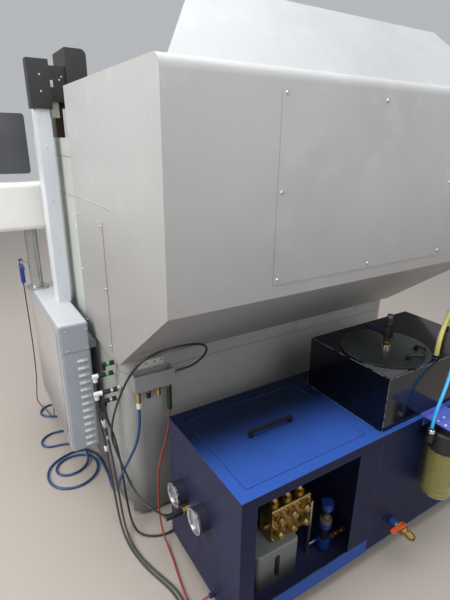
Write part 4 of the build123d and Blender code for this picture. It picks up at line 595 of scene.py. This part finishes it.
DIAL_X = 700.0
GAUGE_PLACES = ((904, 365), (1069, 385))
DIAL_SWEEP = 270
DIAL_STEPS = 50
FIGURE_RING = 24.5
UPRIGHT = Matrix(((0, 0, 1), (1, 0, 0), (0, 1, 0))).to_4x4()


def figure(shape, text, size, place):
    """A figure lying on a dial that faces +X."""
    letters = bpy.data.curves.new("figure", "FONT")
    letters.body = text
    letters.size = size / 1000
    letters.align_x = "CENTER"
    letters.align_y = "CENTER"
    letters.extrude = 0.00005
    spare = bpy.data.objects.new("figure", letters)
    mesh = bpy.data.meshes.new_from_object(spare)
    mesh.transform(Matrix.Translation(Vector(place) / 1000) @ UPRIGHT)
    shape.from_mesh(mesh)
    bpy.data.objects.remove(spare)
    bpy.data.meshes.remove(mesh)
    bpy.data.curves.remove(letters)


for number, (y, z) in enumerate(GAUGE_PLACES, start=1):
    shape = bmesh.new()
    turned(shape, [(0, 0.03), (40.6, 0.03), (40.6, 0.15), (0, 0.15)], (DIAL_X, y, z), (1, 0, 0), 48)
    finish_piece(shape, f"dial_{number}", "dial")
    shape = bmesh.new()
    for step in range(DIAL_STEPS + 1):
        turn = math.radians(DIAL_SWEEP * step / DIAL_STEPS)
        inner = 31 if step % 10 == 0 else 34
        matrix = Matrix.Translation((DIAL_X / 1000, y / 1000, z / 1000)) @ Matrix.Rotation(turn, 4, "X")
        slab(shape, (0.16, inner, -0.35), (0.26, 37.5, 0.35), 0.04, matrix)
    for step in range(6):
        turn = math.radians(DIAL_SWEEP / 5 * step)
        across, up = FIGURE_RING * math.cos(turn), FIGURE_RING * math.sin(turn)
        figure(shape, str(2 * step), 8, (DIAL_X + 0.2, y + across, z + up))
    finish_piece(shape, f"dial_marks_{number}", "black_plastic")
    shape = bmesh.new()
    turned(shape, [(41.1, 0.02), (41.1, 0.9), (43.3, 1.8), (46.4, 0.8), (46.4, -7), (45.05, -7),
                   (45.05, 0.02), (41.1, 0.02)], (712, y, z), (1, 0, 0), 48)
    finish_piece(shape, f"bezel_{number}", "chrome")
    shape = bmesh.new()
    turned(shape, [(0, 0), (40.8, 0), (40.8, 1.2), (0, 1.2)], (706.5, y, z), (1, 0, 0), 48)
    finish_piece(shape, f"gauge_glass_{number}", "glass")

# Screws that hold the sheets

screw_rows = {
    "bridge_screws": ("white_plastic", 3.6, (0, 1, 0),
                      [(842, 23.05, 1860), (842, 23.05, 1798), (752, 5.05, 1858), (762, 5.05, 1846)]),
    "cabinet_screws": ("screw", 4.5, (0, 1, 0),
                       [(912, 304.05, 842), (825, 304.05, 840), (912, 304.05, 752), (825, 304.05, 752)]),
    "splash_screws": ("white_plastic", 4.2, (1, 0, 0),
                      [(785.05, 148, 1585), (785.05, 145, 1522), (785.05, 103, 1301), (785.05, 139, 1263),
                       (785.05, 150, 1252)]),
    "bracket_screws": ("white_plastic", 5, (0, 0, 1),
                       [(-188, 1342, 634.05), (-187, 1374, 634.05), (-228, 1340, 634.05)]),
    "plate_screws": ("black_plastic", 4.5, (0, 1, 0), [(640, 605.05, 772), (676, 605.05, 772)]),
    "duct_screws": ("screw", 3.5, (0, 1, 0), [(842, 14.05, z) for z in (905, 1130, 1355, 1580)]),
    "tray_screws": ("screw", 4, (0, 1, 0), [(586, 660.05, 690), (737, 660.05, 690)]),
}
for name, (key, radius, way, places) in screw_rows.items():
    shape = bmesh.new()
    for place in places:
        screw(shape, place, way, radius)
    finish_piece(shape, name, key)

# A strip of tape on the cable bridge and the small plate on the manifold

shape = bmesh.new()
slab(shape, (788, 5.05, 1817), (801, 6.2, 1843), 0.5)
finish_piece(shape, "bridge_tab", "white_plastic")
shape = bmesh.new()
slab(shape, (601, 605.04, 752), (713, 606.6, 785), 1.2)
finish_piece(shape, "manifold_plate", "cream")

# Filter: pleated cartridge inside the bowl, the clamping ring and the elbow's nut

FILTER_X = -238
FILTER_Y = 1360
PLEAT_LINES = 64
PLEAT_DEPTH = 0.9

shape = bmesh.new()
turned(shape, [(0, 300), (46, 300), (47, 302), (47, 311), (43, 313), (43, 500), (47, 502), (47, 514),
               (0, 516)], (FILTER_X, FILTER_Y, 0), (0, 0, 1), PLEAT_LINES)
for corner in shape.verts:
    reach = Vector((corner.co.x - FILTER_X / 1000, corner.co.y - FILTER_Y / 1000))
    if 0.0425 < reach.length < 0.0435:
        around = math.atan2(reach.y, reach.x)
        if round(around / math.tau * PLEAT_LINES) % 2:
            corner.co.x = FILTER_X / 1000 + PLEAT_DEPTH * reach.x
            corner.co.y = FILTER_Y / 1000 + PLEAT_DEPTH * reach.y
finish_piece(shape, "filter_cartridge", "cartridge", angle=10)
shape = bmesh.new()
turned(shape, [(57.2, 508), (60, 508), (61.5, 510), (61.5, 519), (60, 521), (57.2, 521), (57.2, 508)],
       (FILTER_X, FILTER_Y, 0), (0, 0, 1), 48)
finish_piece(shape, "bowl_clamp", "black_plastic")
collar("elbow_nut", (-160, 1340, 601), (0, 0, 1), 15.5, 16, "chrome")

# Control panel: screen glass, keypad and lamps

shape = bmesh.new()
slab(shape, (898, -274.4, 1474), (1246, -273.05, 1706), 0.6)
finish_piece(shape, "screen_glass", "screen_glass", "screen")
shape = bmesh.new()
turned(shape, [(0, 0), (2.5, 0), (2.5, 1.2), (1.6, 1.8), (0, 1.8)], (1232, -275.05, 1466), (0, -1, 0), 16)
finish_piece(shape, "screen_lamp", "green", "screen")
slope = Matrix(((1, 0, 0, 0), (0, 0.5914, -0.8064, -0.345), (0, 0.8064, 0.5914, 1.345), (0, 0, 0, 1)))
shape = bmesh.new()
slab(shape, (850, -66, 0.05), (1078, 66, 1.6), 0.7, slope)
finish_piece(shape, "keypad_plate", "black_plastic", "console_head")
shape = bmesh.new()
for column in range(7):
    for row in range(4):
        x, y = 874 + 30 * column, -45 + 30 * row
        slab(shape, (x - 12, y - 12, 1.6), (x + 12, y + 12, 5.2), 1.4, slope)
finish_piece(shape, "keypad_keys", "grey_plastic", "console_head")
for number, (x, key) in enumerate(((1105, "green"), (1130, "orange"), (1155, "red")), start=1):
    shape = bmesh.new()
    turned(shape, [(7, 0), (7, 2), (5, 2.2), (4.4, 5.2), (2.4, 6.6), (0, 7)],
           slope @ Vector((x / 1000, 0.055, 0)) * 1000, (0, -0.8064, 0.5914), 24)
    finish_piece(shape, f"lamp_{number}", key, "console_head")


# Camera, floor and light

EYE = (1.245, 2.104, 1.62)
FOCAL_PIXELS = 439.765
PHOTO_HEIGHT = 600
SENSOR = 36

yaw, pitch, roll = (math.radians(angle) for angle in (32.073, 20.001, 0.791))
ahead = Vector((-math.sin(yaw) * math.cos(pitch), -math.cos(yaw) * math.cos(pitch), -math.sin(pitch)))
level = Vector((-math.cos(yaw), math.sin(yaw), 0))
upward = level.cross(ahead)
right = math.cos(roll) * level + math.sin(roll) * upward
above = math.cos(roll) * upward - math.sin(roll) * level
camera = bpy.data.objects.new("camera", bpy.data.cameras.new("camera"))
camera.data.sensor_width = SENSOR
camera.data.lens = FOCAL_PIXELS / PHOTO_HEIGHT * SENSOR
camera.data.clip_start = 0.05
camera.matrix_world = Matrix((
    (right.x, above.x, -ahead.x, EYE[0]),
    (right.y, above.y, -ahead.y, EYE[1]),
    (right.z, above.z, -ahead.z, EYE[2]),
    (0, 0, 0, 1)))
scene.collection.objects.link(camera)
scene.camera = camera

floor_mesh = bpy.data.meshes.new("floor")
floor_mesh.from_pydata([(-12, -12, 0), (12, -12, 0), (12, 12, 0), (-12, 12, 0)], [], [(0, 1, 2, 3)])
floor = bpy.data.objects.new("floor", floor_mesh)
floor_look = Shader("floor_look", (0.42, 0.375, 0.335), 0.5)
floor_mesh.materials.append(floor_look.done())
scene.collection.objects.link(floor)

world = bpy.data.worlds.new("studio")
world.use_nodes = True
world.node_tree.nodes["Background"].inputs[0].default_value = (0.93, 0.96, 1.0, 1)
world.node_tree.nodes["Background"].inputs[1].default_value = 0.5
scene.world = world


def lamp(name, place, aim, size, power, colour=(1, 1, 1)):
    data = bpy.data.lights.new(name, "AREA")
    data.shape = "RECTANGLE"
    data.size, data.size_y = size
    data.energy = power
    data.color = colour
    made = bpy.data.objects.new(name, data)
    made.location = place
    made.rotation_euler = (Vector(aim) - Vector(place)).to_track_quat("-Z", "Y").to_euler()
    scene.collection.objects.link(made)


lamp("ceiling", (0.4, 0.5, 5.0), (0, 0.4, 0.9), (4.5, 4.5), 210)
lamp("side", (4.2, 0.6, 3.2), (0.8, 0.3, 1.0), (2.5, 2.5), 130, (1.0, 0.98, 0.95))
lamp("rear", (0.2, 4.6, 3.0), (0, 1.0, 0.9), (3.0, 2.0), 55)

scene.view_settings.view_transform = "Standard"
scene.view_settings.exposure = 0.0
